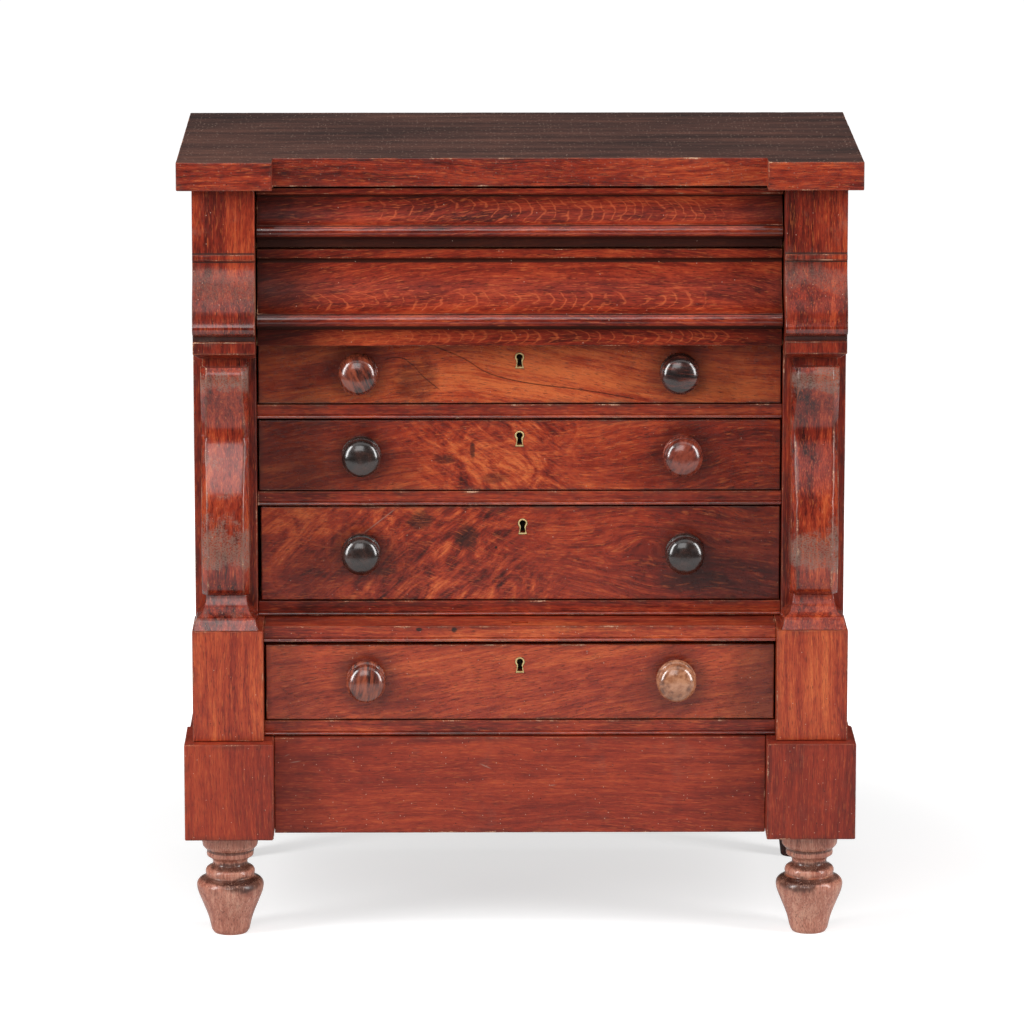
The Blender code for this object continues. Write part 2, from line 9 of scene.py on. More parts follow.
import bpy
import numpy as np
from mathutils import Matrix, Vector


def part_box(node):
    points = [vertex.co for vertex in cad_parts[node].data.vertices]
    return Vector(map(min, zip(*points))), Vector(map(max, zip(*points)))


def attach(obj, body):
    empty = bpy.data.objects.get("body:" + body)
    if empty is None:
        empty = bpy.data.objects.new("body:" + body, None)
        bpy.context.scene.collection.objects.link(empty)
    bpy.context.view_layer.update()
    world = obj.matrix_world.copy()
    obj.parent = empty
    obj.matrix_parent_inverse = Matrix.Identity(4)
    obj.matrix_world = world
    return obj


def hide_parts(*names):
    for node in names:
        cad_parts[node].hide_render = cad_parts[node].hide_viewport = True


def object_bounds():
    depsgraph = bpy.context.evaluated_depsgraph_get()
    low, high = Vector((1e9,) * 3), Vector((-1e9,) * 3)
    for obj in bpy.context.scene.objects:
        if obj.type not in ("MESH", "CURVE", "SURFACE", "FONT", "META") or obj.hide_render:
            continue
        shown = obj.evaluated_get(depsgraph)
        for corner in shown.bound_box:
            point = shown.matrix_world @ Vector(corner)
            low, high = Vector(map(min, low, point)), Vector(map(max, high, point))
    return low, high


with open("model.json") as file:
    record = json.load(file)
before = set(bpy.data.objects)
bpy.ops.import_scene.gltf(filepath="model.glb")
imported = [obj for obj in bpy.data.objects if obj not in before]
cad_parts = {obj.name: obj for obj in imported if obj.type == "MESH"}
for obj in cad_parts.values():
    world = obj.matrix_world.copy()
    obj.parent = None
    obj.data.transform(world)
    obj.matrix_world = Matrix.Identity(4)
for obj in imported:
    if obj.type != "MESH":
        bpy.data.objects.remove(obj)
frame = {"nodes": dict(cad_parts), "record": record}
cad_low, cad_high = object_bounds()

NODES = frame["nodes"]
BODY_OF = {node: body for body, nodes in frame["record"]["behaviour"]["bodies"].items() for node in nodes}
FACE = cad_low.y

# Flat-fronted drawers: number, left knob x, right knob x, knob height, keyhole x, keyhole height.
FLAT_DRAWERS = (
    (1, -0.1166, 0.1156, 0.4092, 0.0, 0.4176),
    (2, -0.1146, 0.1181, 0.3485, 0.0, 0.3600),
    (3, -0.1151, 0.1201, 0.2763, 0.0023, 0.2950),
    (4, -0.1114, 0.1131, 0.1896, 0.0, 0.1996),
)
PLATE_RADIUS = 0.0034
PLATE_HEIGHT = 0.0116
PLATE_RIM = 0.0011
PLATE_THICK = 0.0015
GAP = 0.0003
LOCK_HALF = 0.0133
LOCK_HIGH = 0.0243
LOCK_THICK = 0.0073
SIDES = ((0, -1, "left"), (1, 1, "right"))
FOOT_X = 0.2112
FRONT_FOOT_DEPTH, BACK_FOOT_DEPTH = 0.031, 0.2475
CONSOLE_X = 0.2122
TOP_RECESS_HALF, TOP_RECESS_DEPTH = 0.1768, 0.0215
STILE_LINE = 0.1936
GUIDE_WIDE, GUIDE_START = 0.012, 0.062


# ---------------------------------------------------------------- shapes


def corners_of(node):
    """A node's lowest and highest corners, as arrays."""
    return (np.array(corner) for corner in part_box(node))


def joined(*parts):
    """One run of points from several."""
    return np.vstack([np.asarray(part, float) for part in parts])


def bell(run, middle, wide):
    """A bell curve of height 1: e to the minus square of the distance from the middle in widths."""
    return np.exp(-(((run - middle) / wide) ** 2))


def slid(points, axis, amount):
    """The points moved by amount along one axis."""
    moved = points.copy()
    moved[:, axis] += amount
    return moved


def near_front(points, behind, reach):
    """1 as far back as behind, falling evenly to 0 over the reach after it."""
    return np.clip(1 - (points[:, 1] - behind) / reach, 0, 1)


def wander(run, seed, pitch):
    """A smooth wave of one variable: five sines, the longest pitch long and each next one 0.62 of the
    last, with seeded phases and falling heights, added and scaled to about -1 to 1."""
    rng = np.random.default_rng(seed)
    total = np.zeros_like(run)
    for k in range(5):
        total += np.sin(run * math.tau / (pitch * 0.62**k) + rng.uniform(0, math.tau)) * 0.75**k
    return total / 2.2


def chips(run, seed, span, count, width):
    """Chips along an edge: the sum of bell curves about width across, centred at seeded places in span."""
    rng = np.random.default_rng(seed)
    centres = rng.uniform(span[0], span[1], count)
    widths = width * rng.uniform(0.5, 1.6, count)
    depths = rng.uniform(0.2, 1.0, count) ** 2
    return (depths * bell(run[:, None], centres, widths)).sum(1)


def flow(points, steps=6):
    """A smooth line through the points given, by Catmull and Rom's cubic: between two neighbours it starts
    and ends with the slope of the chord across each one's own neighbours."""
    points = np.asarray(points, float)
    before = np.vstack((2 * points[:1] - points[1:2], points[:-2]))
    start, end = points[:-1], points[1:]
    after = np.vstack((points[2:], 2 * points[-1:] - points[-2:-1]))
    t = (np.arange(steps) / steps)[None, :, None]
    a, b, c, d = (p[:, None, :] for p in (before, start, end, after))
    run = 0.5 * (2 * b + (c - a) * t + (2 * a - 5 * b + 4 * c - d) * t**2 + (3 * b - a - 3 * c + d) * t**3)
    return np.vstack((run.reshape(-1, points.shape[1]), points[-1:]))


def arc(centre, radius, start, end, count):
    """Points on a circular arc between two angles in degrees."""
    turn = np.radians(np.linspace(start, end, count + 1))
    return np.stack((centre[0] + radius * np.cos(turn), centre[1] + radius * np.sin(turn)), -1)


def hollow(start, end, count):
    """A quarter of an ellipse that drops straight down from start and runs out level at end."""
    turn = np.linspace(0, math.pi / 2, count + 1)
    along, up = end[0] - start[0], end[1] - start[1]
    return np.stack((start[0] + along * (1 - np.cos(turn)), start[1] + up * np.sin(turn)), -1)


def ogee(start, end, count):
    """A double curve, upright at both ends: half a cosine wave in depth against even steps in height."""
    t = np.linspace(0, 1, count + 1)
    along = (1 - np.cos(math.pi * t)) / 2
    return np.stack((start[0] + (end[0] - start[0]) * along, start[1] + (end[1] - start[1]) * t), -1)


def piece(node, points, faces, finish, wear=None, sharp=38, shine=None):
    """A finished piece in place of a CAD node. wear is 1 on a worn edge, 0 on a flat, -1 in a quirk, where
    shade is painted, and shine is 1 on a crest that hands have polished."""
    mesh = bpy.data.meshes.new(node + "_finished")
    mesh.from_pydata(points.tolist(), [], faces)
    mesh.polygons.foreach_set("use_smooth", np.ones(len(mesh.polygons), bool))
    mesh.set_sharp_from_angle(angle=math.radians(sharp))
    for name, values in (("wear", wear), ("shine", shine)):
        if values is not None:
            mesh.attributes.new(name, "FLOAT", "POINT").data.foreach_set("value", values.astype(np.float32))
    mesh.materials.append(finish)
    made = bpy.data.objects.new(node + "_finished", mesh)
    bpy.context.scene.collection.objects.link(made)
    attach(made, BODY_OF[node])
    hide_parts(node)


def ring_quads(rows, count, wrap=False):
    """Quads that join each ring of count points to the next, and with wrap the last ring to the first."""
    u = np.arange(rows if wrap else rows - 1)[:, None]
    v = np.arange(count)[None, :]
    w, up = (v + 1) % count, (u + 1) % rows
    quads = np.stack((u * count + v, u * count + w, up * count + w, up * count + v), -1)
    return quads.reshape(-1, 4).tolist()


def grid_lines(low, high, edge, pitch, also=()):
    """Grid lines from low to high: crowded over the rolled edge at each end, about pitch apart between, and
    one at each value in also."""
    near = edge * np.array((0, 0.15, 0.4, 0.7, 1.0, 1.5, 2.2, 3.5, 6.0))
    near = near[near < (high - low) * 0.45]
    middle = np.linspace(low + near[-1], high - near[-1], max(2, int((high - low) / pitch)))
    lines = np.concatenate((low + near, high - near, middle))
    also = np.asarray(also, float)
    if also.size:
        lines = lines[np.abs(lines[:, None] - also).min(1) > edge * 0.25]
    lines = np.sort(np.concatenate((lines, also)))
    return lines[np.concatenate(([True], np.diff(lines) > 2e-5))]


def shell(grids, gone=()):
    """The skin of a block of cells between three sets of grid lines, less the cells inside each box in gone.
    A quad stands wherever a full cell meets an empty one, and faces the empty one."""
    counts = [len(g) - 1 for g in grids]
    full = np.zeros([n + 2 for n in counts], bool)
    full[1:-1, 1:-1, 1:-1] = True
    mids = [(g[1:] + g[:-1]) / 2 for g in grids]
    for low, high in gone:
        within = [np.flatnonzero((m > a) & (m < b)) + 1 for m, a, b in zip(mids, low, high)]
        full[np.ix_(*within)] = False
    stride = np.array(((counts[1] + 1) * (counts[2] + 1), counts[2] + 1, 1))
    quads = []
    for axis in range(3):
        change = np.diff(full.astype(np.int8), axis=axis)
        at = np.argwhere(change != 0)
        rising = change[change != 0] > 0
        corner = at.copy()
        for other in ((axis + 1) % 3, (axis + 2) % 3):
            corner[:, other] -= 1
        base = corner @ stride
        first, second = stride[(axis + 1) % 3], stride[(axis + 2) % 3]
        quad = np.stack((base, base + first, base + first + second, base + second), -1)
        quad[rising] = quad[rising][:, ::-1]
        quads.append(quad)
    quads = np.concatenate(quads)
    used, quads = np.unique(quads, return_inverse=True)
    quads = quads.reshape(-1, 4)
    i, rest = np.divmod(used, stride[0])
    j, k = np.divmod(rest, stride[1])
    return np.stack((grids[0][i], grids[1][j], grids[2][k]), -1), quads


def rolled(points, low, high, edge, nick, seed):
    """Points of a block with its edges worn round. A point nearer to two or three faces than the radius is
    drawn in from the square corner to the ball: its offset from the inner block is scaled by its largest
    part over its length. The radius wanders along each edge and swells at the nicks."""
    run = points @ np.array((1.0, 1.31, 1.73))
    span = (run.min(), run.max())
    count = int((span[1] - span[0]) * 90) + 1
    nicks = 0.6 * nick * chips(run, seed + 1, span, count, 0.0016)
    radius = edge * (1 + 0.25 * wander(run, seed, 0.09) + nicks)
    radius = np.clip(radius, edge * 0.5, edge * 2.6)[:, None]
    radius = np.minimum(radius, (high - low) * 0.45)
    offset = points - np.clip(points, low + radius, high - radius)
    largest = np.abs(offset).max(1)
    length = np.maximum(np.sqrt((offset**2).sum(1)), 1e-12)
    return points - offset * (1 - largest / length)[:, None]


def edge_wear(points, low, high):
    """1 at an edge, falling evenly to 0 at 8 mm from it: the second smallest distance to the six faces."""
    away = np.sort(np.minimum(points - low, high - points), axis=1)[:, 1]
    return np.clip(1 - away / 0.008, 0, 1)


def board(node, finish, edge=0.0007, pitch=(0.003, 0.006, 0.003), nick=1.0, gone=(), also=((), (), ()),
          warp=None, seed=0, more_wear=None, trim=(0.0, 0.0), shine_of=None):
    """A board with rolled, nicked edges, cut away where gone says, and bent by warp. trim is what is planed
    off its left end and its lower edge."""
    low, high = corners_of(node)
    low[0] += trim[0]
    low[2] += trim[1]
    grids = [grid_lines(low[i], high[i], edge, pitch[i], also[i]) for i in range(3)]
    points, quads = shell(grids, gone)
    wear = edge_wear(points, low, high)
    if more_wear:
        wear = more_wear(points, wear)
    shine = shine_of(points) if shine_of else None
    points = rolled(points, low, high, edge, nick, seed)
    if warp:
        points = warp(points)
    piece(node, points, quads.tolist(), finish, wear, shine=shine)


def eased(corners, radius):
    """A closed outline with each corner rounded by three points and a guide point out along both sides,
    and how worn each point is: 1 on a corner that sticks out, -1 in one that goes in, where shade is painted."""
    corners = np.asarray(corners, float)
    corners = corners[np.linalg.norm(corners - np.roll(corners, 1, 0), axis=1) > 1e-6]
    last = np.roll(corners, 1, 0)
    if (last[:, 0] * corners[:, 1] - corners[:, 0] * last[:, 1]).sum() < 0:
        corners = corners[::-1]
    back = corners - np.roll(corners, 1, 0)
    ahead = np.roll(back, -1, 0)
    turn = np.arctan2(back[:, 0] * ahead[:, 1] - back[:, 1] * ahead[:, 0], (back * ahead).sum(1))
    points, worn = [], []
    for corner, came, goes, angle in zip(corners, back, ahead, turn):
        if abs(angle) < math.radians(20):
            points.append(corner)
            worn.append(0.0)
            continue
        before, after = np.linalg.norm(came), np.linalg.norm(goes)
        a, b = min(radius, before * 0.3), min(radius, after * 0.3)
        u, v = came / before, goes / after
        mark = math.copysign(1.0, angle)
        if before > 7 * a:
            points.append(corner - u * 3 * a)
            worn.append(0.3 * mark)
        points += [corner - u * a, corner + (v * b - u * a) * 0.29, corner + v * b]
        worn += [mark * 0.95, mark, mark * 0.95]
        if after > 7 * b:
            points.append(corner + v * 3 * b)
            worn.append(0.3 * mark)
    return np.array(points), np.array(worn)


def closed_grid(rows, count):
    """Quads of a tube: rows rings of count points each, joined ring to ring, and its two end faces."""
    last = (rows - 1) * count
    return ring_quads(rows, count) + [list(range(count))[::-1], list(range(last, last + count))]


def moulding(node, outline, finish, edge=0.0004, ease=0.00035, wave=0.00006, warp=None, seed=0,
             marks=()):
    """An outline of (depth, height) points run along X from one end of the node to the other. Near the ends
    it shrinks along its own normals by a quarter circle, and along its length it breathes by wave. Each mark
    gives the points between two heights, in front of a depth, their own wear, a negative one painting shade,
    or a shine where it is 1."""
    low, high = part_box(node)
    points, worn = eased(outline, ease)
    shine = np.zeros(len(points))
    for under, over, ahead, amount in marks:
        here = (points[:, 1] > under) & (points[:, 1] < over) & (points[:, 0] < ahead) & (worn > -0.5)
        if amount == 1:
            shine[here] = 1
        else:
            worn = np.where(here, amount, worn)
    back = points - np.roll(points, 1, 0)
    back /= np.linalg.norm(back, axis=1)[:, None]
    side = np.stack((back[:, 1], -back[:, 0]), -1)
    outward = side + np.roll(side, -1, 0)
    outward /= np.maximum((outward**2).sum(1) / 2, 0.35)[:, None]
    xs = grid_lines(low.x, high.x, edge, 0.004)
    from_end = np.minimum(xs - low.x, high.x - xs)[:, None]
    rough = 1 + 0.3 * wander(points[:, 1] + points[:, 0], seed, 0.02)
    rough += chips(points[:, 1], seed + 2, (low.z, high.z), 6, 0.0015)
    reach = edge * np.clip(rough, 0.4, 3.0)[None, :]
    inset = reach - np.sqrt(np.maximum(reach**2 - np.maximum(reach - from_end, 0) ** 2, 0))
    slow, quick = wander(xs, seed + 3, 0.11)[:, None], wander(xs, seed + 4, 0.05)[:, None]
    breathe = wave * (slow + quick * np.sin(points[None, :, 1] * 900))
    nicks = 0.0005 * chips(xs, seed + 5, (low.x, high.x), int((high.x - low.x) * 60) + 1, 0.0014)[:, None]
    move = -inset + np.minimum(breathe, 0) - nicks * np.clip(worn, 0, 1)[None, :]
    ring = points[None] + outward[None] * move[..., None]
    grid = np.stack((np.broadcast_to(xs[:, None], move.shape), FACE + ring[..., 0], ring[..., 1]), -1)
    end_wear = np.clip(1 - from_end / 0.006, 0, 1)
    wear = np.where(worn < 0, worn, np.maximum(worn, end_wear))
    grid = grid.reshape(-1, 3)
    if warp:
        grid = warp(grid)
    wear, shine = (np.broadcast_to(values, move.shape).ravel() for values in (wear, shine))
    piece(node, grid, closed_grid(len(xs), len(points)), finish, wear, shine=shine)


def turned(node, profile, centre, up, finish, steps=72, rough=0.0, seed=0, worn=None):
    """A shape turned about a line. profile is (radius, height) from foot to tip, closed by a pole at each
    end. The radius is cut by rough times bell-shaped chips placed round it and up it."""
    profile = np.asarray(profile, float)
    up = np.asarray(up, float)
    side = np.array((1.0, 0.0, 0.0))
    other = np.cross(up, side)
    turn = np.linspace(0, math.tau, steps, endpoint=False)
    radius = np.repeat(profile[:, :1], steps, 1)
    if rough:
        rng = np.random.default_rng(seed)
        bite = np.zeros_like(radius)
        for _ in range(46):
            at, height = rng.uniform(0, math.tau), rng.uniform(profile[0, 1], profile[-1, 1])
            apart = (turn[None, :] - at + math.pi) % math.tau - math.pi
            wide = rng.uniform(0.05, 0.16)
            deep = rng.uniform(0.2, 1) ** 2
            bite += deep * bell(apart, 0, wide) * bell(profile[:, 1:], height, 0.0012 * rng.uniform(0.6, 1.8))
        radius = radius - rough * np.clip(bite, 0, 1.2)
    ring = radius[..., None] * (np.cos(turn)[None, :, None] * side + np.sin(turn)[None, :, None] * other)
    grid = (np.asarray(centre) + ring + profile[:, 1][:, None, None] * up).reshape(-1, 3)
    rows = len(profile)
    foot = np.asarray(centre) + profile[0, 1] * up
    tip = np.asarray(centre) + profile[-1, 1] * up
    points = np.vstack((grid, foot, tip))
    v = np.arange(steps)
    w = (v + 1) % steps
    last = (rows - 1) * steps
    fans = np.stack((w, v, np.full(steps, rows * steps)), -1).tolist()
    fans += np.stack((last + v, last + w, np.full(steps, rows * steps + 1)), -1).tolist()
    wear = None
    if worn is not None:
        wear = np.append(np.repeat(np.asarray(worn, float), steps), (0.0, 0.0))
    piece(node, points, ring_quads(rows, steps) + fans, finish, wear, sharp=50)


# ---------------------------------------------------------------- finishes


class Finish:
    """A material and short calls that make and join its nodes. A value may be a number or a socket."""

    def __init__(self, name):
        self.material = bpy.data.materials.new(name)
        self.material.use_nodes = True
        self.nodes = self.material.node_tree.nodes
        self.links = self.material.node_tree.links
        self.shader = self.nodes["Principled BSDF"]
        self.place = self.node("ShaderNodeTexCoord").outputs["Object"]

    def node(self, kind, **settings):
        made = self.nodes.new(kind)
        for name, value in settings.items():
            setattr(made, name, value)
        return made

    def join(self, value, socket):
        if isinstance(value, bpy.types.NodeSocket):
            self.links.new(value, socket)
        elif isinstance(value, (tuple, list)) and len(value) == 3 and len(socket.default_value) == 4:
            socket.default_value = (*value, 1.0)
        else:
            socket.default_value = value

    def math(self, operation, a, b=0.0, clamp=False):
        made = self.node("ShaderNodeMath", operation=operation, use_clamp=clamp)
        self.join(a, made.inputs[0])
        self.join(b, made.inputs[1])
        return made.outputs[0]

    def add(self, a, b, clamp=False):
        return self.math("ADD", a, b, clamp)

    def mul(self, a, b, clamp=False):
        return self.math("MULTIPLY", a, b, clamp)

    def size(self, value):
        return self.math("ABSOLUTE", value)

    def times(self, value, factor, extra=0.0):
        made = self.node("ShaderNodeMath", operation="MULTIPLY_ADD")
        for socket, part in zip(made.inputs, (value, factor, extra)):
            self.join(part, socket)
        return made.outputs[0]

    def square(self, value):
        return self.mul(value, value)

    def blend(self, *parts):
        """The sum of each value times its weight."""
        total = self.times(*parts[0])
        for value, weight in parts[1:]:
            total = self.times(value, weight, total)
        return total

    def drawn(self, x, points):
        """The height, between -50 and 50 mm, of a smooth line drawn through (x, height) points."""
        level = self.curve(self.times(x, 2.5, 0.5), [(px * 2.5 + 0.5, pz * 10 + 0.5) for px, pz in points])
        return self.times(level, 0.1, -0.05)

    def near_line(self, x, z, points, thick):
        """How near, 0 to 1, a place is to a thin line drawn through the points."""
        middle = sum(pz for _, pz in points) / len(points)
        level = self.drawn(x, [(px, pz - middle) for px, pz in points])
        apart = self.size(self.math("SUBTRACT", self.times(z, 1, -middle), level))
        first, last = points[0][0], points[-1][0]
        inside = self.mul(self.span(x, first, first + 0.004), self.span(x, last, last - 0.004))
        return self.mul(self.span(apart, thick, thick * 0.2), inside)

    def span(self, value, low, high, to_low=0.0, to_high=1.0):
        """value carried smoothly from low..high to to_low..to_high, and held at both ends."""
        made = self.node("ShaderNodeMapRange", interpolation_type="SMOOTHSTEP")
        for index, part in enumerate((value, low, high, to_low, to_high)):
            self.join(part, made.inputs[index])
        return made.outputs[0]

    def stretch(self, place, scale, shift=(0, 0, 0), turn=(0, 0, 0)):
        made = self.node("ShaderNodeMapping")
        self.join(place, made.inputs["Vector"])
        made.inputs["Location"].default_value = shift
        made.inputs["Rotation"].default_value = [math.radians(a) for a in turn]
        made.inputs["Scale"].default_value = scale
        return made.outputs[0]

    def noise(self, place, scale=1.0, detail=3.0, rough=0.55, twist=0.0):
        made = self.node("ShaderNodeTexNoise")
        self.join(place, made.inputs["Vector"])
        for name, value in zip(("Scale", "Detail", "Roughness", "Distortion"), (scale, detail, rough, twist)):
            made.inputs[name].default_value = value
        return made.outputs["Fac"]

    def specks(self, place, scale, size, share):
        """Small round spots, one to a cell of 1/scale metres, in share of the cells."""
        made = self.node("ShaderNodeTexVoronoi")
        self.join(place, made.inputs["Vector"])
        made.inputs["Scale"].default_value = scale
        chosen = self.math("LESS_THAN", self.apart(made.outputs["Color"])[0], share)
        return self.mul(self.span(made.outputs["Distance"], size, size * 0.5), chosen)

    def apart(self, vector):
        made = self.node("ShaderNodeSeparateXYZ")
        self.join(vector, made.inputs[0])
        return made.outputs

    def together(self, x, y, z):
        made = self.node("ShaderNodeCombineXYZ")
        for part, socket in zip((x, y, z), made.inputs):
            self.join(part, socket)
        return made.outputs[0]

    def mix(self, factor, a, b):
        made = self.node("ShaderNodeMix", data_type="RGBA")
        self.join(factor, made.inputs[0])
        self.join(a, made.inputs[6])
        self.join(b, made.inputs[7])
        return made.outputs[2]

    def ramp(self, factor, *stops):
        made = self.node("ShaderNodeValToRGB")
        self.join(factor, made.inputs[0])
        made.color_ramp.interpolation = "B_SPLINE" if len(stops) > 3 else "LINEAR"
        while len(made.color_ramp.elements) < len(stops):
            made.color_ramp.elements.new(0.5)
        for element, (where, colour) in zip(made.color_ramp.elements, stops):
            element.position = where
            element.color = (*colour, 1.0)
        return made.outputs[0]

    def attribute(self, name):
        return self.node("ShaderNodeAttribute", attribute_name=name).outputs["Fac"]

    def curve(self, value, points):
        """A value in 0..1 carried through a smooth curve of (in, out) points."""
        made = self.node("ShaderNodeFloatCurve")
        self.join(value, made.inputs["Value"])
        line = made.mapping.curves[0]
        while len(line.points) < len(points):
            line.points.new(0.5, 0.5)
        for point, where in zip(line.points, points):
            point.location = where
        made.mapping.update()
        return made.outputs[0]

    def bump(self, height, depth, strength=1.0):
        made = self.node("ShaderNodeBump")
        made.inputs["Strength"].default_value = strength
        made.inputs["Distance"].default_value = depth
        self.join(height, made.inputs["Height"])
        self.join(made.outputs[0], self.shader.inputs["Normal"])

    def set(self, **values):
        for name, value in values.items():
            self.join(value, self.shader.inputs[name.replace("_", " ")])
        return self.material


GRAIN_TURN = {"x": (0, 0, 0), "z": (0, 90, 0), "y": (0, 0, -90)}
REDS = ((0.022, 0.004, 0.003), (0.100, 0.010, 0.006), (0.240, 0.022, 0.010), (0.410, 0.055, 0.018),
        (0.620, 0.145, 0.042))
ROSY = ((0.040, 0.010, 0.007), (0.160, 0.040, 0.025), (0.340, 0.105, 0.068), (0.520, 0.205, 0.138),
        (0.700, 0.380, 0.270))


def crotch_figure(f, tone, x, drift, shift, curl):
    """Swirls and feathers in place of the straight grain, within wide of middle and leaning by lean."""
    middle, wide, strength, lean = curl
    leant = f.stretch(f.place, (1, 1, 1), shift, (0, lean, 0))
    swirl = f.noise(f.stretch(leant, (24, 30, 40)), 1, 6, 0.66, 2.4)
    feather = f.noise(f.stretch(leant, (50, 160, 330)), 1, 5, 0.66, 0.8)
    crotch = f.blend((swirl, 0.62), (feather, 0.38))
    edge = f.add(x, f.times(drift, 0.16, -0.08))
    where = f.span(f.size(f.math("SUBTRACT", edge, middle)), wide, wide * 0.45, 0, strength)
    return f.add(f.mul(tone, f.math("SUBTRACT", 1.0, where)), f.mul(crotch, where))


def hooked(f, colour, x, z, drift, blotch, hooks):
    """Thin light lines across the grain in bands: a saw wave along x, bowed by the square of the height."""
    for start, end, height, reach, bend, spacing in hooks:
        off = f.times(z, 1, -height)
        ragged = f.noise(f.stretch(f.place, (40, 40, 55)), 1, 3, 0.6)
        wave = f.blend((f.add(x, f.times(f.square(off), bend)), 1 / spacing), (drift, 9.0), (ragged, 2.2))
        saw = f.size(f.times(f.math("FRACT", wave), 1, -0.5))
        line = f.mul(f.span(saw, 0.13, 0.02), f.span(blotch, 0.40, 0.54, 0.1, 1.0))
        line = f.mul(line, f.mul(f.span(x, start, start + 0.03), f.span(x, end, end - 0.03)))
        line = f.mul(line, f.span(f.size(off), reach, reach * 0.6))
        colour = f.mix(f.times(line, 0.52), colour, (0.56, 0.110, 0.036))
    return colour


def stains_and_painted_shade(f, colour, x, z, blotch, spots):
    """Dark ovals about each place, each edge broken by the blotches: stains, and on the front feet painted
    shade.
    """
    for where_x, where_z, wide, high, depth in spots:
        across, up = f.times(x, 1 / wide, -where_x / wide), f.times(z, 1 / high, -where_z / high)
        oval = f.add(f.add(f.square(across), f.square(up)), f.times(blotch, 2.2, -1.1))
        colour = f.mix(f.span(oval, 1.4, 0.3, 0, depth), colour, (0.026, 0.008, 0.006))
    return colour


def knob_shade_halo(f, colour, x, z, patch, knobs):
    """Painted shade about each knob, standing for its shadow and its dark reflection in the polish: full out
    to 15 mm from each knob's middle, and gone at 30 mm.
    """
    near = 1.0
    for knob_x, knob_z in knobs:
        gap = f.node("ShaderNodeVectorMath", operation="DISTANCE")
        f.join(f.together(x, 0.0, z), gap.inputs[0])
        gap.inputs[1].default_value = (knob_x, 0, knob_z)
        near = f.math("MINIMUM", near, gap.outputs["Value"])
    near = f.add(near, f.times(patch, 0.02, -0.01))
    return f.mix(f.span(near, 0.030, 0.015, 0, 0.5), colour, (0.030, 0.006, 0.005))


def darkened_top_and_sheen(f, colour, run, fibres, upper):
    """Darker, greyer, streaky colour on the faces that look up: the wood's own dark brown with a painted grey
    reflection on it.
    """
    streak = f.blend((f.noise(f.stretch(run, (5, 60, 60)), 1, 5, 0.65, 0.2), 0.7), (fibres, 0.3))
    streak = f.add(streak, f.times(f.noise(f.place, 7, 2, 0.5), 0.3, -0.15))
    top_tone_and_sheen = f.ramp(streak, (0.36, (0.024, 0.016, 0.014)), (0.5, (0.076, 0.036, 0.028)),
                   (0.66, (0.170, 0.075, 0.052)))
    return f.mix(f.times(upper, 0.95), colour, top_tone_and_sheen)


def edges_soiled_shaded_and_rubbed(f, colour, place, cloud, fine, grime_and_shade, wear, rim):
    """Dirt beside edges, painted shade in quirks and under noses, a dark rim of painted shade and grime along
    the gaps, then polish rubbed through to red and to bare wood. Gives the colour, the soil with its painted
    shade, and the bare places."""
    near = f.add(f.attribute("wear"), f.add(f.times(cloud, 0.22, -0.11), f.times(fine, 0.16, -0.08)))
    soil = f.mul(f.span(near, 0.35, 0.85), f.span(cloud, 0.40, 0.62))
    # Painted shade: quirks and marked undersides, where the wear value is negative, go dark.
    soil = f.add(f.times(soil, 0.45), f.times(f.span(near, -0.20, -0.75), 0.95))
    colour = f.mix(f.mul(soil, grime_and_shade, clamp=True), colour, (0.026, 0.007, 0.004))
    rubbed = f.span(f.noise(place, 34, 3, 0.6), 0.47, 0.62, 0.15, 1.0)
    bare = f.mul(f.span(near, 0.88, 1.0, 0, wear), rubbed)
    pale = f.mul(bare, f.span(f.add(cloud, f.times(fine, 0.5)), 0.80, 0.92))
    # Painted shade and grime: a dark rim along the outermost edges stands for the shadow in the gaps beside
    # them.
    colour = f.mix(f.times(f.span(near, 0.84, 1.0), rim), colour, (0.020, 0.007, 0.005))
    colour = f.mix(f.times(bare, 0.5), colour, (0.50, 0.125, 0.048))
    return f.mix(f.times(pale, 0.8), colour, (0.66, 0.42, 0.27)), soil, bare


def scuffed(f, colour, place, z, scuff, rubs):
    """Dull scuffs in clouds, thicker near the heights in rubs, and broken by fine grain. Gives the colour
    and the scuffs."""
    spread = f.noise(place, 42, 5, 0.65)
    for height, reach in rubs:
        spread = f.add(spread, f.span(f.size(f.times(z, 1, -height)), reach, 0.0, 0, 0.24))
    broken = f.span(f.noise(f.stretch(f.place, (700, 700, 1300)), 1, 3, 0.6), 0.38, 0.60, 0.25, 1.0)
    rub = f.mul(f.mul(f.span(spread, 0.56, 0.72), scuff), broken)
    return f.mix(rub, colour, (0.200, 0.128, 0.098)), rub


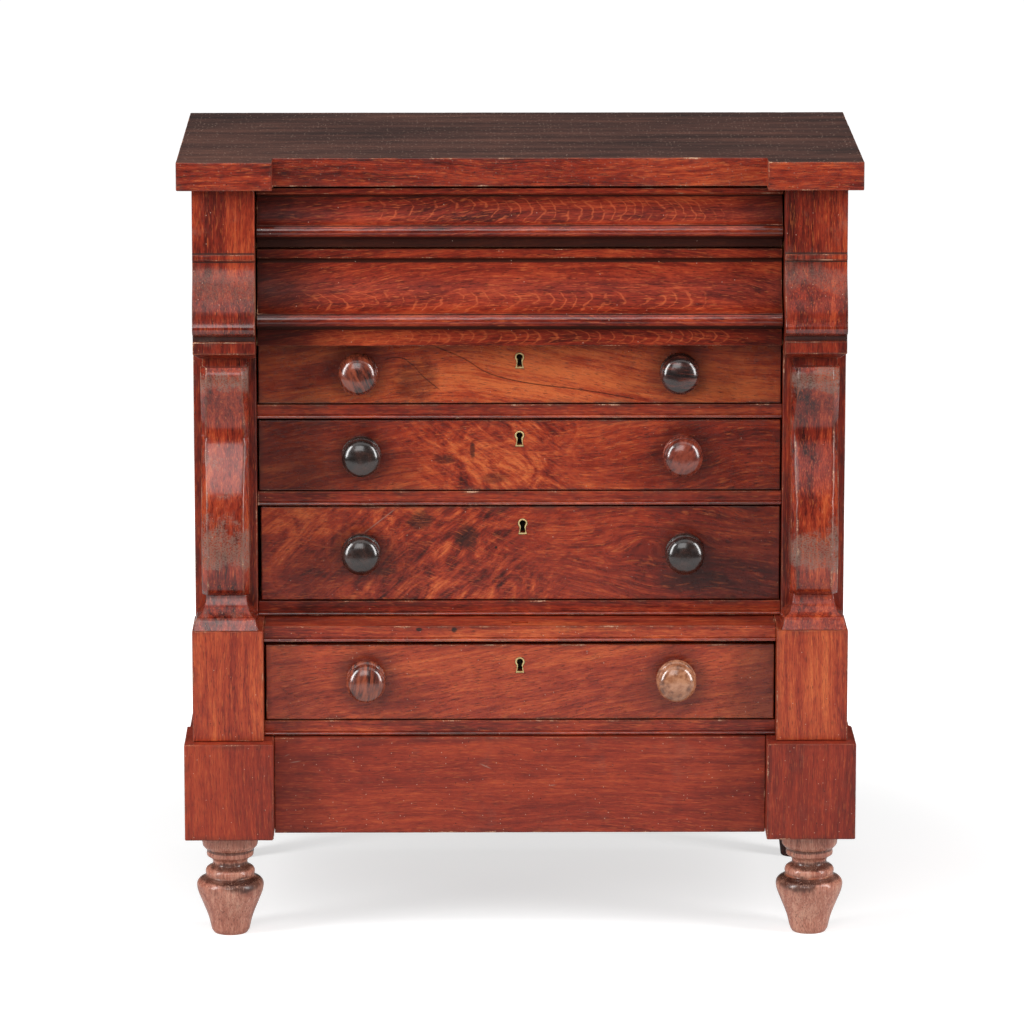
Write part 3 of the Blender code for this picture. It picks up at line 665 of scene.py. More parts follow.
def mahogany(name, grain="x", shift=(0, 0, 0), slope=0.0, sweep=None, sway=0.02, reds=REDS, level=0.5,
             bold=1.0, curl=None, hooks=(), veins=(), scratches=(), spots=(), knobs=(), ends=None, dust=0.06,
             wear=1.0, grime_and_shade=0.5, gloss=0.34, dull=0.12, coat=0.12, top_dark=False, scuff=0.0, rubs=(),
             rim=0.35, pores=1.0, crest=0.5, shine=0.4):
    """Polished mahogany. The grain runs along one axis and is bent across it by sweep, a drawn curve, and by
    sway, a slow noise. Ribbons, blotches, lines and fibres are added and sent through a range of reds."""
    f = Finish(name)
    base = f.stretch(f.place, (1, 1, 1), shift, GRAIN_TURN[grain])
    along, deep, across = f.apart(base)
    x, _, z = f.apart(f.place)
    drift = f.noise(f.stretch(base, (5, 14, 14)), 1, 2, 0.5)
    bent = f.add(across, f.times(drift, sway, -0.5 * sway))
    if slope:
        bent = f.add(bent, f.times(along, slope))
    if sweep:
        bent = f.math("SUBTRACT", bent, f.drawn(x, sweep))
    run = f.together(along, deep, bent)
    ribbon = f.noise(f.stretch(run, (5, 26, 46)), 1, 4, 0.55, 0.3)
    blotch = f.noise(f.stretch(run, (60, 110, 170)), 1, 5, 0.68, 0.4)
    lines = f.noise(f.stretch(run, (10, 220, 380)), 1, 5, 0.65, 0.2)
    fibres = f.noise(f.stretch(run, (80, 900, 1500)), 1, 3, 0.65)
    tone = f.blend((ribbon, 0.30), (blotch, 0.22), (lines, 0.28), (fibres, 0.20))
    if curl:
        tone = crotch_figure(f, tone, x, drift, shift, curl)
    patch = f.noise(f.stretch(run, (9, 20, 26), (3, 1, 2)), 1, 2, 0.5)
    tone = f.add(tone, f.times(patch, 0.14, -0.07))
    tone = f.span(tone, 0.5 - 0.145 / bold, 0.5 + 0.145 / bold, level - 0.5, level + 0.5)
    tone.node.interpolation_type = "LINEAR"
    colour = f.ramp(tone, *zip((0.0, 0.22, 0.48, 0.74, 1.0), reds))
    colour = hooked(f, colour, x, z, drift, blotch, hooks)
    for points in veins:
        colour = f.mix(f.times(f.near_line(x, z, points, 0.0007), 0.8), colour, reds[0])
    colour = stains_and_painted_shade(f, colour, x, z, blotch, spots)
    pore = f.span(f.noise(f.stretch(run, (190, 1200, 2100)), 1, 2, 0.5), 0.56, 0.68)
    colour = f.mix(f.times(pore, 0.62 * pores), colour, reds[0])
    fleck = f.span(f.noise(f.stretch(run, (120, 900, 1400), (5, 2, 1)), 1, 2, 0.5), 0.58, 0.70)
    colour = f.mix(f.times(fleck, 0.42 * pores), colour, reds[4])
    for points in scratches:
        colour = f.mix(f.times(f.near_line(x, z, points, 0.0006), 0.75), colour, (0.30, 0.17, 0.13))
    # Painted shade: the colour darkens toward the left and right ends of the piece.
    if ends:
        left, right, amount = ends
        dim = f.add(x, f.times(drift, 0.09, -0.045))
        shade = f.add(f.span(dim, left, left - 0.075), f.span(dim, right, right + 0.06))
        colour = f.mix(f.mul(shade, amount, clamp=True), colour, reds[0])
    # Painted shade and dark reflection about the knobs.
    if knobs:
        colour = knob_shade_halo(f, colour, x, z, patch, knobs)
    place = f.stretch(f.place, (1, 1, 1), (0.3, 0.1, 0.2))
    cloud, fine = f.noise(place, 60, 4, 0.6), f.noise(place, 900, 2, 0.5)
    # Faces that look up get a darker, greyer colour: their own dark brown with a painted grey reflection.
    if top_dark:
        upper = f.span(f.apart(f.node("ShaderNodeNewGeometry").outputs["Normal"])[2], 0.55, 0.9)
        colour = darkened_top_and_sheen(f, colour, run, fibres, upper)
    colour, soil, bare = edges_soiled_shaded_and_rubbed(f, colour, place, cloud, fine, grime_and_shade, wear, rim)
    rub = 0.0
    if scuff:
        colour, rub = scuffed(f, colour, place, z, scuff, rubs)
    grit = f.specks(place, 330, 0.22 if top_dark else 0.13, dust)
    if top_dark:
        grit = f.mul(grit, f.times(upper, 0.8, 0.2))
    colour = f.mix(f.times(grit, 0.8), colour, (0.62, 0.42, 0.32))
    dark_spot = f.specks(f.stretch(place, (1, 1, 1), (4, 3, 2)), 210, 0.13, dust * 0.8)
    colour = f.mix(f.times(dark_spot, 0.7), colour, (0.016, 0.006, 0.005))
    polish = f.attribute("shine")
    rough = f.add(gloss, f.times(cloud, dull * 2, -dull))
    rough = f.math("SUBTRACT", rough, f.times(polish, gloss * 0.55))
    rough = f.add(rough, f.mul(f.add(bare, rub), 0.25))
    rough = f.add(rough, f.times(soil, 0.25), clamp=True)
    if top_dark:
        rough = f.add(rough, f.times(upper, 0.16))
    height = f.blend((lines, 0.30), (fibres, 0.25), (pore, -0.45), (cloud, 0.9), (dark_spot, -0.8))
    f.bump(height, 0.00016, 0.55)
    return f.set(Base_Color=colour, Roughness=rough, Coat_Weight=f.times(polish, crest - coat, coat),
                 Coat_Roughness=0.12, Specular_IOR_Level=shine)


def turned_wood(name, dark, mid, light, turn, streak, share, gloss=0.22, rings=0.0):
    """A small turned and polished piece: streaks of dark wood through lighter."""
    f = Finish(name)
    base = f.stretch(f.place, (1, 1, 1), (0, 0, 0), turn)
    broad = f.noise(f.stretch(base, streak), 1, 4, 0.6, 0.6)
    fine = f.noise(f.stretch(base, tuple(s * 3.2 for s in streak)), 1, 3, 0.6, 0.3)
    tone = f.add(f.mul(broad, 0.7), f.mul(fine, 0.3))
    colour = f.ramp(f.span(tone, share - 0.14, share + 0.16), (0.0, dark), (0.5, mid), (1.0, light))
    if rings:
        spot = f.noise(f.stretch(base, (1500, 900, 1500)), 1, 2, 0.5)
        colour = f.mix(f.span(spot, 0.60, 0.72, 0, rings), colour, dark)
    cloud = f.noise(f.place, 260, 3, 0.6)
    worn = f.span(f.add(f.attribute("wear"), f.math("SUBTRACT", cloud, 0.5)), 0.75, 1.05, 0, 0.6)
    colour = f.mix(worn, colour, (0.30, 0.17, 0.12))
    rough = f.add(gloss, f.mul(f.span(cloud, 0.45, 0.75), 0.16))
    f.bump(f.add(f.mul(fine, 0.4), cloud), 0.00008, 0.5)
    return f.set(Base_Color=colour, Roughness=rough, Coat_Weight=0.9, Coat_Roughness=0.15)


def softwood(name, grain, shift=(0, 0, 0)):
    """Bare, aged pine: pale early wood, tan late lines, grey handling marks."""
    f = Finish(name)
    base = f.stretch(f.place, (1, 1, 1), shift, GRAIN_TURN[grain])
    bend = f.noise(f.stretch(base, (4, 14, 14)), 1, 2)
    along, deep, across = f.apart(base)
    run = f.together(along, deep, f.add(across, f.mul(bend, 0.03)))
    lines = f.noise(f.stretch(run, (4, 130, 190)), 1, 4, 0.55, 0.2)
    fibre = f.noise(f.stretch(run, (60, 1200, 1600)), 1, 2)
    tone = f.add(f.mul(lines, 0.75), f.mul(fibre, 0.25))
    colour = f.ramp(tone, (0.30, (0.28, 0.125, 0.048)), (0.5, (0.50, 0.260, 0.120)),
                    (0.72, (0.64, 0.380, 0.200)))
    soil = f.noise(f.place, 26, 4, 0.6)
    colour = f.mix(f.span(soil, 0.48, 0.75, 0, 0.35), colour, (0.20, 0.098, 0.055))
    f.bump(tone, 0.0003, 0.4)
    return f.set(Base_Color=colour, Roughness=f.span(fibre, 0.3, 0.7, 0.62, 0.82))


def metal(name, bright, tarnish, gloss, metallic=1.0):
    """Aged metal: tarnish in clouds and fine spots, with rubbed bright places."""
    f = Finish(name)
    cloud = f.noise(f.place, 420, 4, 0.65)
    spot = f.noise(f.place, 2200, 2, 0.5)
    mixed = f.span(f.add(f.mul(cloud, 0.7), f.mul(spot, 0.3)), 0.40, 0.66)
    f.bump(f.add(cloud, spot), 0.00005, 0.5)
    rough = f.span(mixed, 0, 1, gloss, gloss + 0.2)
    return f.set(Base_Color=f.mix(mixed, bright, tarnish), Roughness=rough, Metallic=metallic)


# ---------------------------------------------------------------- camera, floor and light


def aim(obj, spot):
    obj.rotation_euler = (Vector(spot) - obj.location).to_track_quat("-Z", "Y").to_euler()


def make_camera():
    lens = bpy.data.cameras.new("camera")
    lens.lens = 219.91
    lens.sensor_width = 36.0
    lens.clip_start, lens.clip_end = 0.1, 50.0
    camera = bpy.data.objects.new("camera", lens)
    bpy.context.scene.collection.objects.link(camera)
    camera.location = (-0.0435, -4.5227, 1.2243)
    yaw, pitch = math.radians(0.490), math.radians(11.665)
    ahead = Vector((math.sin(yaw) * math.cos(pitch), math.cos(yaw) * math.cos(pitch), -math.sin(pitch)))
    camera.rotation_euler = ahead.to_track_quat("-Z", "Y").to_euler()
    bpy.context.scene.camera = camera


def softbox(name, place, spot, wide, high, watts):
    light = bpy.data.lights.new(name, "AREA")
    light.shape = "RECTANGLE"
    light.size, light.size_y = wide, high
    light.energy = watts
    made = bpy.data.objects.new(name, light)
    bpy.context.scene.collection.objects.link(made)
    made.location = place
    aim(made, spot)


def make_studio():
    """A white floor that glows enough to print white, a white surround for the camera only, and softboxes."""
    turn = np.linspace(0, math.tau, 96, endpoint=False)
    rim = np.stack((1.5 * np.cos(turn), 0.20 + 1.5 * np.sin(turn), np.zeros(96)), -1)
    mesh = bpy.data.meshes.new("floor")
    mesh.from_pydata(rim.tolist(), [], [list(range(96))])
    floor = bpy.data.objects.new("floor", mesh)
    bpy.context.scene.collection.objects.link(floor)
    f = Finish("floor_white")
    path = f.node("ShaderNodeLightPath")
    seen = f.add(path.outputs["Is Camera Ray"], f.times(path.outputs["Is Glossy Ray"], 0.22))
    f.set(Base_Color=(0.55, 0.55, 0.55), Roughness=1.0, Specular_IOR_Level=0.0, Emission_Color=(1, 1, 1))
    x, y, _ = f.apart(f.place)
    out = f.math("SQRT", f.add(f.square(x), f.square(y)))
    f.join(f.mul(seen, f.span(out, 0.34, 0.75, 0.64, 1.1)), f.shader.inputs["Emission Strength"])
    mesh.materials.append(f.material)

    world = bpy.data.worlds.new("surround")
    world.use_nodes = True
    bpy.context.scene.world = world
    nodes, links = world.node_tree.nodes, world.node_tree.links
    nodes["Background"].inputs["Color"].default_value = (0.07, 0.07, 0.07, 1)
    white = nodes.new("ShaderNodeBackground")
    white.inputs["Color"].default_value = (1, 1, 1, 1)
    white.inputs["Strength"].default_value = 1.05
    mixed, path = nodes.new("ShaderNodeMixShader"), nodes.new("ShaderNodeLightPath")
    links.new(path.outputs["Is Camera Ray"], mixed.inputs[0])
    links.new(nodes["Background"].outputs[0], mixed.inputs[1])
    links.new(white.outputs[0], mixed.inputs[2])
    links.new(mixed.outputs[0], nodes["World Output"].inputs["Surface"])

    softbox("left_softbox", (-2.15, -1.25, 1.30), (0, 0, 0.30), 0.65, 2.2, 60)
    softbox("right_softbox", (2.25, -1.15, 1.25), (0, 0, 0.30), 0.65, 2.2, 55)
    softbox("overhead_bank", (0.0, -0.40, 2.40), (0, 0, 0.30), 3.0, 2.0, 17)
    softbox("front_glow", (-0.45, -2.45, 1.90), (0, 0, 0.30), 1.5, 1.45, 20)
    bpy.context.scene.view_settings.view_transform = "Standard"


# ---------------------------------------------------------------- the pieces


def top_front_step(points):
    """Draws the middle of the top's front edge back by 21.5 mm between the two ends, all of it at the edge
    and none 60 mm behind, across 0.2 mm of width."""
    inside = np.clip((TOP_RECESS_HALF - np.abs(points[:, 0])) / 0.0002, 0, 1)
    return slid(points, 1, TOP_RECESS_DEPTH * inside * near_front(points, FACE + 0.0175, 0.06))


def top_corner_wear(points, wear):
    """Adds wear down the inner corners of the top's two forward ends, falling to none 5 mm from them."""
    size = np.abs(points[:, 0])
    at_end = (points[:, 1] < FACE + 0.0190) & (size > TOP_RECESS_HALF - 0.0001)
    away = np.abs(size - TOP_RECESS_HALF - 0.0001)
    return np.where(at_end, np.maximum(wear, np.clip(1 - away / 0.005, 0, 1)), wear)


def make_top():
    finish = mahogany("mahogany_top_dusty", shift=(0.4, 0.2, 0.1), sway=0.03, level=0.50, dust=0.50, wear=1.0,
                      grime_and_shade=0.5, gloss=0.34, coat=0.12, top_dark=True, bold=1.1)
    step = TOP_RECESS_HALF + np.array((-0.0006, -0.0002, 0, 0.0004, 0.0012))
    step = np.concatenate((-step, step))
    board("top_board", finish, edge=0.0008, pitch=(0.0028, 0.007, 0.003), also=(step, (), ()),
          warp=top_front_step, more_wear=top_corner_wear, seed=11, nick=1.3)


def stile_step(points):
    """Sets the strip of the stile inside its line back by 0.8 mm, fading out behind the face."""
    strip = np.clip((STILE_LINE - np.abs(points[:, 0])) / 0.0002, 0, 1)
    return slid(points, 1, 0.0008 * strip * near_front(points, FACE + 0.050, 0.006))


def guide_cut(low, high, side, behind):
    """The box to take away so that a front board keeps only its guide behind it, and the box's inner side."""
    inner = min(abs(low[0]), abs(high[0])) + GUIDE_WIDE
    span = (inner, 1) if side > 0 else (-1, -inner)
    return ((span[0], behind, -1), (span[1], 1, 2)), side * inner


def make_carcase():
    side_finish = mahogany("mahogany_sides", grain="z", shift=(0.1, 0.7, 0.3), sway=0.03, level=0.47,
                           dust=0.05)
    stile_finish = mahogany("mahogany_stiles", grain="z", shift=(0.9, 0.2, 0.6), sway=0.012, level=0.42,
                            grime_and_shade=0.7)
    pedestal_finish = mahogany("mahogany_pedestals", grain="z", shift=(0.3, 0.5, 0.8), level=0.63, bold=0.85,
                               dust=0.10)
    behind = FACE + GUIDE_START
    for seed, side, word in SIDES:
        board("side_" + word, side_finish, pitch=(0.004, 0.005, 0.005), seed=20 + seed)
        for name, finish, warp, step in (
            ("pilaster_", stile_finish, stile_step, (STILE_LINE - 0.0002, STILE_LINE, STILE_LINE + 0.0002)),
            ("pedestal_", pedestal_finish, None, ()),
        ):
            low, high = corners_of(name + word)
            cut, line = guide_cut(low, high, side, behind)
            also = (tuple(side * s for s in step) + (line,), (behind,), ())
            board(name + word, finish, edge=0.0006, pitch=(0.003, 0.006, 0.0028),
                  gone=(cut,), also=also, warp=warp, seed=30 + 2 * seed + len(name), nick=1.2)


def bead_bend(low, bead, step):
    """Bends a rail's front to a bead along its foot, a half circle in depth, with the face above set back."""
    def bend(points):
        up = points[:, 2] - low[2] - bead
        half = bead - np.sqrt(np.maximum(bead**2 - np.clip(up, -bead, bead) ** 2, 0))
        quirk = 0.0004 * bell(up, bead * 1.15, bead * 0.22)
        back = np.where(up > bead, step + quirk, half)
        sag = 0.00010 * (wander(points[:, 0], int(low[2] * 1e4), 0.14) + 1)
        return slid(points, 1, (back + sag) * near_front(points, low[1], 0.012))
    return bend


def make_rails():
    """Each rail: its grain's place, how light it is, how dusty, and where a bolt's mortise is cut in it, as
    (x, depth of its middle behind the face)."""
    rails = {
        "rail_1": ((0.2, 0.1, 0.3), 0.49, 0.02, (0.0, 0.0745)),
        "rail_2": ((0.6, 0.4, 0.9), 0.51, 0.15, (0.0023, 0.0745)),
        "rail_3": ((0.8, 0.3, 0.2), 0.42, 0.06, None),
        "base_top_board": ((0.5, 0.9, 0.4), 0.58, 0.60, (0.0, 0.0405)),
        "base_bottom_board": ((0.1, 0.8, 0.7), 0.36, 0.12, None),
    }
    plugs = ((-0.0730, 0.2262, 0.0022, 0.0013, 1.0), (-0.0475, 0.2260, 0.0024, 0.0022, 1.0))
    bead = 0.0012
    for seed, (node, (shift, level, dust, mortise)) in enumerate(rails.items()):
        low, high = corners_of(node)
        gone, also_x, also_y = [], (), ()
        if mortise:
            x, middle = mortise[0], FACE + mortise[1]
            gone.append(((x - 0.006, middle - 0.003, -1), (x + 0.006, middle + 0.003, 2)))
            also_x, also_y = (x - 0.006, x + 0.006), (middle - 0.003, middle + 0.003)
        rise = low[2] + bead * (1 - np.cos(np.linspace(0.35, math.pi, 9)))
        also_z = np.append(rise, low[2] + 2 * bead + np.array((0.00012, 0.0003, 0.0006, 0.001)))
        finish = mahogany("mahogany_" + node, shift=shift, level=level, sway=0.008, dust=dust, grime_and_shade=0.8,
                          bold=1.1, spots=plugs if node == "base_top_board" else (), crest=1.0)
        board(node, finish, edge=0.0003, pitch=(0.003, 0.008, 0.002), nick=1.0, gone=gone,
              also=(also_x, also_y, also_z), warp=bead_bend(low, bead, 0.0018), seed=50 + seed,
              shine_of=lambda p, low=low: 1.0 * ((p[:, 2] < low[2] + 2 * bead) & (p[:, 1] < low[1] + 0.002)))


def capital_outline():
    """A frieze block over an ogee corbel: fillet, quirk, double curve, nose, flat band and splay."""
    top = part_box("capital_left")[1].z
    return joined(
        [(0.0497, 0.4254), (0.0497, top), (0.0300, top)],
        [(0.0300, 0.5005), (0.0285, 0.5005), (0.0285, 0.4962), (0.0305, 0.4952)],
        ogee((0.0305, 0.4940), (0.0160, 0.4560), 26),
        arc((0.0200, 0.4490), 0.0055, 158, 262, 14),
        [(0.0225, 0.4420), (0.0232, 0.4390), (0.0215, 0.4382), (0.0215, 0.4295), (0.0280, 0.4254)],
    )


def make_capitals():
    for seed, side, word in SIDES:
        low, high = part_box("capital_" + word)
        outer = high.x if side > 0 else low.x
        inner = low.x if side > 0 else high.x

        def mitre(points, outer=outer, inner=inner, side=side):
            """Draws the splay below the flat band in from the outer side as well, by its own depth."""
            share = np.clip((points[:, 0] - inner) / (outer - inner), 0, 1)
            return slid(points, 0, -side * 0.0045 * share * np.clip((0.4295 - points[:, 2]) / 0.0041, 0, 1))

        finish = mahogany("mahogany_capital_" + word, grain="z", shift=(0.2 + seed, 0.3, 0.5), sway=0.01,
                          level=0.40, dust=0.14, grime_and_shade=0.9, scuff=0.32, rubs=((0.480, 0.018),), shine=0.3,
                          crest=1.0)
        moulding("capital_" + word, capital_outline(), finish, edge=0.0006, ease=0.0005,
                 warp=mitre, seed=70 + 7 * seed, marks=((0.4430, 0.4520, 0.0215, 1),))


# Where a console's outline turns: height, half width, front depth, chamfer
SCROLL = (
    (0.2526, 0.0172, 0.0250, 0.0044), (0.2570, 0.0172, 0.0205, 0.0045), (0.2660, 0.0172, 0.0172, 0.0045),
    (0.2780, 0.0172, 0.0160, 0.0045), (0.2920, 0.0172, 0.0163, 0.0045), (0.3060, 0.0172, 0.0178, 0.0044),
    (0.3240, 0.0172, 0.0205, 0.0042), (0.3390, 0.0172, 0.0250, 0.0038), (0.3535, 0.0172, 0.0305, 0.0034),
    (0.3650, 0.0172, 0.0340, 0.0032), (0.3745, 0.0172, 0.0345, 0.0032), (0.3835, 0.0172, 0.0325, 0.0034),
    (0.3920, 0.0172, 0.0285, 0.0038), (0.4005, 0.0172, 0.0240, 0.0043), (0.4080, 0.0172, 0.0220, 0.0045),
    (0.4150, 0.0172, 0.0225, 0.0045), (0.4190, 0.0172, 0.0250, 0.0044),
)
SCROLL_FOOT = (
    (0.2292, 0.0235, 0.0112, 0.0006), (0.2330, 0.0224, 0.0132, 0.0006), (0.2371, 0.0212, 0.0155, 0.0006),
    (0.2378, 0.0198, 0.0175, 0.0006), (0.2405, 0.0175, 0.0210, 0.0006), (0.2440, 0.0160, 0.0240, 0.0006),
    (0.2480, 0.0150, 0.0262, 0.0006), (0.2520, 0.0146, 0.0275, 0.0006),
)


def make_consoles():
    """Each console is lofted: half width, front depth and chamfer are smooth functions of height, and at
    each height the plan is a six-cornered outline with its four front corners rounded by three points."""
    neck = ((0.4193, 0.0160, 0.0330, 0.0004), (0.4250, 0.0160, 0.0330, 0.0004))
    rows = joined(flow(SCROLL_FOOT, 5), flow(SCROLL, 7), neck)
    height, half, front, chamfer = rows.T
    for seed, side, word in SIDES:
        run = height + seed
        chip = chips(run, 90 + seed, (run.min(), run.max()), 16, 0.0014)
        cut = chamfer * (1 + 0.06 * wander(run, 92 + seed, 0.05)) + 0.0006 * chip * (chamfer > 0.001)
        back = np.full_like(half, 0.0497)
        across = np.stack((-half, -half, -half + cut, half - cut, half, half), 1)
        corners = np.stack((across, np.stack((back, front + cut, front, front, front + cut, back), 1)), -1)
        ring, worn = [corners[:, :1]], [np.zeros((len(rows), 1))]
        for k in range(1, 5):
            before, after = corners[:, k - 1] - corners[:, k], corners[:, k + 1] - corners[:, k]
            long_before, long_after = (np.linalg.norm(e, axis=1)[:, None] for e in (before, after))
            ease = np.minimum(0.0006 + 0.0004 * chip[:, None], 0.14 * np.minimum(long_before, long_after))
            u, v = before / long_before, after / long_after
            here = corners[:, k]
            rounded = (here + u * 3 * ease, here + u * ease, here + (u + v) * ease * 0.29)
            ring.append(np.stack((*rounded, here + v * ease, here + v * 3 * ease), 1))
            worn.append(np.tile((0.25, 0.93, 1.0, 0.93, 0.25), (len(rows), 1)))
        ring.append(corners[:, 5:])
        worn.append(np.zeros((len(rows), 1)))
        ring, worn = np.concatenate(ring, 1), np.concatenate(worn, 1)
        level = np.broadcast_to(height[:, None], ring.shape[:2])
        points = np.stack((side * CONSOLE_X + ring[..., 0], FACE + ring[..., 1], level), -1)
        finish = mahogany("mahogany_console_" + word, grain="z", shift=(0.5 + seed, 0.1, 0.2), sway=0.012,
                          level=0.36, bold=1.2, dust=0.10, grime_and_shade=0.9, scuff=0.8,
                          rubs=((0.287, 0.022), (0.409, 0.014)),
                          gloss=0.20, dull=0.06, coat=0.45, crest=0.8)
        piece("console_" + word, points.reshape(-1, 3), closed_grid(len(rows), ring.shape[1]), finish,
              worn.ravel(), sharp=46)


def make_plinth():
    for seed, side, word in SIDES:
        block = mahogany("mahogany_plinth_block_" + word, grain="z", shift=(0.7 + seed, 0.2, 0.1), sway=0.015,
                         level=0.48, bold=0.6, pores=0.6, dust=0.30, grime_and_shade=0.7, gloss=0.42, coat=0.03,
                         scuff=0.15)
        board("plinth_block_" + word, block, edge=0.0009, pitch=(0.0026, 0.003, 0.0026),
              seed=100 + seed, nick=1.5)
        facing = mahogany("mahogany_plinth_side_" + word, grain="y", shift=(0.1, 0.6 + seed, 0.4), level=0.46,
                          gloss=0.42, dust=0.15)
        board("plinth_side_" + word, facing, edge=0.0006, pitch=(0.002, 0.004, 0.003),
              seed=104 + seed)
    finish = mahogany("mahogany_plinth_front", shift=(0.2, 0.5, 0.9), sway=0.03, level=0.49, bold=0.6,
                      pores=0.6, dust=0.34, grime_and_shade=0.7, gloss=0.42, coat=0.03, scuff=0.12,
                      ends=(-0.140, 0.165, 0.35),
                      scratches=(((-0.172, 0.1330), (-0.166, 0.1355)), ((-0.168, 0.1285), (-0.158, 0.1300)),
                                 ((-0.030, 0.128), (-0.020, 0.1235)), ((0.020, 0.1110), (0.027, 0.1118))))
    board("plinth_front", finish, edge=0.0006, pitch=(0.003, 0.004, 0.003), seed=110,
          nick=1.4)


def make_feet():
    """Front feet: a tapering neck, a ring, a cove, a collar, a groove, a swelling bulb and a taper."""
    tip = [(0.0105, 0.0), (0.0122, 0.0), (0.0138, 0.0024)]
    bulb = flow(((0.0138, 0.0024), (0.0162, 0.0122), (0.0202, 0.0225), (0.0232, 0.0300), (0.0243, 0.0348),
                 (0.0240, 0.0378), (0.0221, 0.0402), (0.0190, 0.0417)), 7)
    collar = [(0.0176, 0.0423), (0.0173, 0.0432), (0.0177, 0.0442), (0.0180, 0.0454), (0.0179, 0.0468),
              (0.0172, 0.0482), (0.0160, 0.0492)]
    cove = flow(((0.0146, 0.0498), (0.0130, 0.0512), (0.0126, 0.0530), (0.0131, 0.0548), (0.0146, 0.0564),
                 (0.0163, 0.0574)), 5)
    ring = [(0.0169, 0.0580), (0.0171, 0.0592), (0.0169, 0.0608), (0.0168, 0.0618)]
    neck = flow(((0.0172, 0.0624), (0.0187, 0.0640), (0.0199, 0.0656), (0.0204, 0.0682), (0.0208, 0.0757)), 5)
    profile = joined(tip, bulb[1:], collar, cove, ring, neck)
    worn = sum(share * bell(profile[:, 1], middle, wide) for share, middle, wide in
               ((1.1, 0.0428, 0.0012), (0.8, 0.0350, 0.006), (0.7, 0.0600, 0.0012), (0.6, 0.0, 0.003)))
    back_tip = [(0.0090, 0.0), (0.0094, 0.0004)]
    back_taper = flow(((0.0096, 0.0012), (0.0128, 0.0300), (0.0136, 0.0600), (0.0140, 0.0757)), 6)
    back_profile = joined(back_tip, back_taper)
    for seed, side, word in SIDES:
        # Painted shade on each front foot: a patch on the bulb's inner side, and bands in the groove above
        # the bulb, in the cove and under the neck's flare.
        foot_shade_patches = ((0.010 - 0.020 * seed, 0.0390, 0.016, 0.0050, 0.8), (0.0, 0.0412, 0.030, 0.0016, 0.7),
                  (0.004, 0.0510, 0.022, 0.0030, 0.8), (0.0, 0.0622, 0.030, 0.0014, 0.7))
        finish = mahogany("mahogany_foot_" + word, grain="z", shift=(0.4 + seed, 0.8, 0.2), sway=0.01,
                          level=0.73, bold=0.8, reds=ROSY, dust=0.30, grime_and_shade=0.6, gloss=0.24, coat=0.2,
                          crest=0.8, scuff=0.35, spots=[(side * FOOT_X + x, *rest) for x, *rest in foot_shade_patches])
        turned("front_foot_" + word, profile, (side * FOOT_X, FACE + FRONT_FOOT_DEPTH, 0), (0, 0, 1), finish,
               steps=96, rough=0.0007, seed=120 + seed, worn=np.clip(worn, 0, 1))
        # Painted shade: the back feet are given a much darker tone than the front feet, for the shade they
        # stand in.
        back_foot_in_shade = mahogany("mahogany_back_foot_shaded_" + word, grain="z", shift=(0.1, 0.1, 0.9 + seed), level=0.20,
                         gloss=0.45)
        turned("back_foot_" + word, back_profile, (side * FOOT_X, FACE + BACK_FOOT_DEPTH, 0), (0, 0, 1),
               back_foot_in_shade, steps=48, rough=0.0003, seed=124 + seed, worn=np.zeros(len(back_profile)))


def frieze_outlines():
    """Fronts of the two moulded drawers, as (depth, height): fillet, quirk, hollow, nose and foot."""
    low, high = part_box("frieze_drawer_upper_front")
    upper = joined(
        [(0.0600, low.z), (0.0600, high.z), (0.0420, high.z), (0.0420, 0.5425), (0.0440, 0.5418)],
        hollow((0.0500, 0.5400), (0.0428, 0.5200), 22), arc((0.0455, 0.5150), 0.0050, 126, 250, 16),
        [(0.0490, 0.5085), (0.0500, low.z)],
    )
    low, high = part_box("frieze_drawer_lower_front")
    lower = joined(
        [(0.0600, low.z), (0.0600, high.z), (0.0500, high.z), (0.0500, 0.4948), (0.0520, 0.4938)],
        hollow((0.0535, 0.4920), (0.0335, 0.4570), 26), arc((0.0380, 0.4515), 0.0062, 132, 262, 18),
        [(0.0420, 0.4448), (0.0420, low.z)],
    )
    return {"upper": upper, "lower": lower}


def make_frieze_drawers():
    outlines = frieze_outlines()
    looks = {
        "upper": dict(shift=(0.3, 0.3, 0.1), level=0.44, slope=-0.05,
                      hooks=((-0.120, 0.160, 0.530, 0.010, 110, 0.0085),)),
        "lower": dict(shift=(0.8, 0.1, 0.6), level=0.42,
                      hooks=((-0.175, 0.15, 0.4640, 0.0075, 190, 0.0105),
                             (-0.16, 0.17, 0.4385, 0.006, 260, 0.0095)),
                      sweep=((-0.2, -0.014), (-0.08, 0.002), (0.02, 0.008), (0.2, -0.004))),
    }
    # The first mark of each gives the nose its shine; the second paints shade under the nose.
    marks = {
        "upper": ((0.5133, 0.5196, 0.0445, 1), (0.5020, 0.5118, 0.0550, -0.9)),
        "lower": ((0.4497, 0.4570, 0.0370, 1), (0.4440, 0.4482, 0.0430, -0.9)),
    }
    for seed, word in enumerate(("upper", "lower")):
        finish = mahogany("mahogany_frieze_" + word, sway=0.03, ends=(-0.115, 0.150, 0.75), dust=0.06,
                          gloss=0.40, coat=0.0, crest=1.0, shine=0.15, grime_and_shade=0.95, **looks[word])
        moulding("frieze_drawer_%s_front" % word, outlines[word], finish, wave=0.00010,
                 seed=130 + 9 * seed, marks=marks[word])


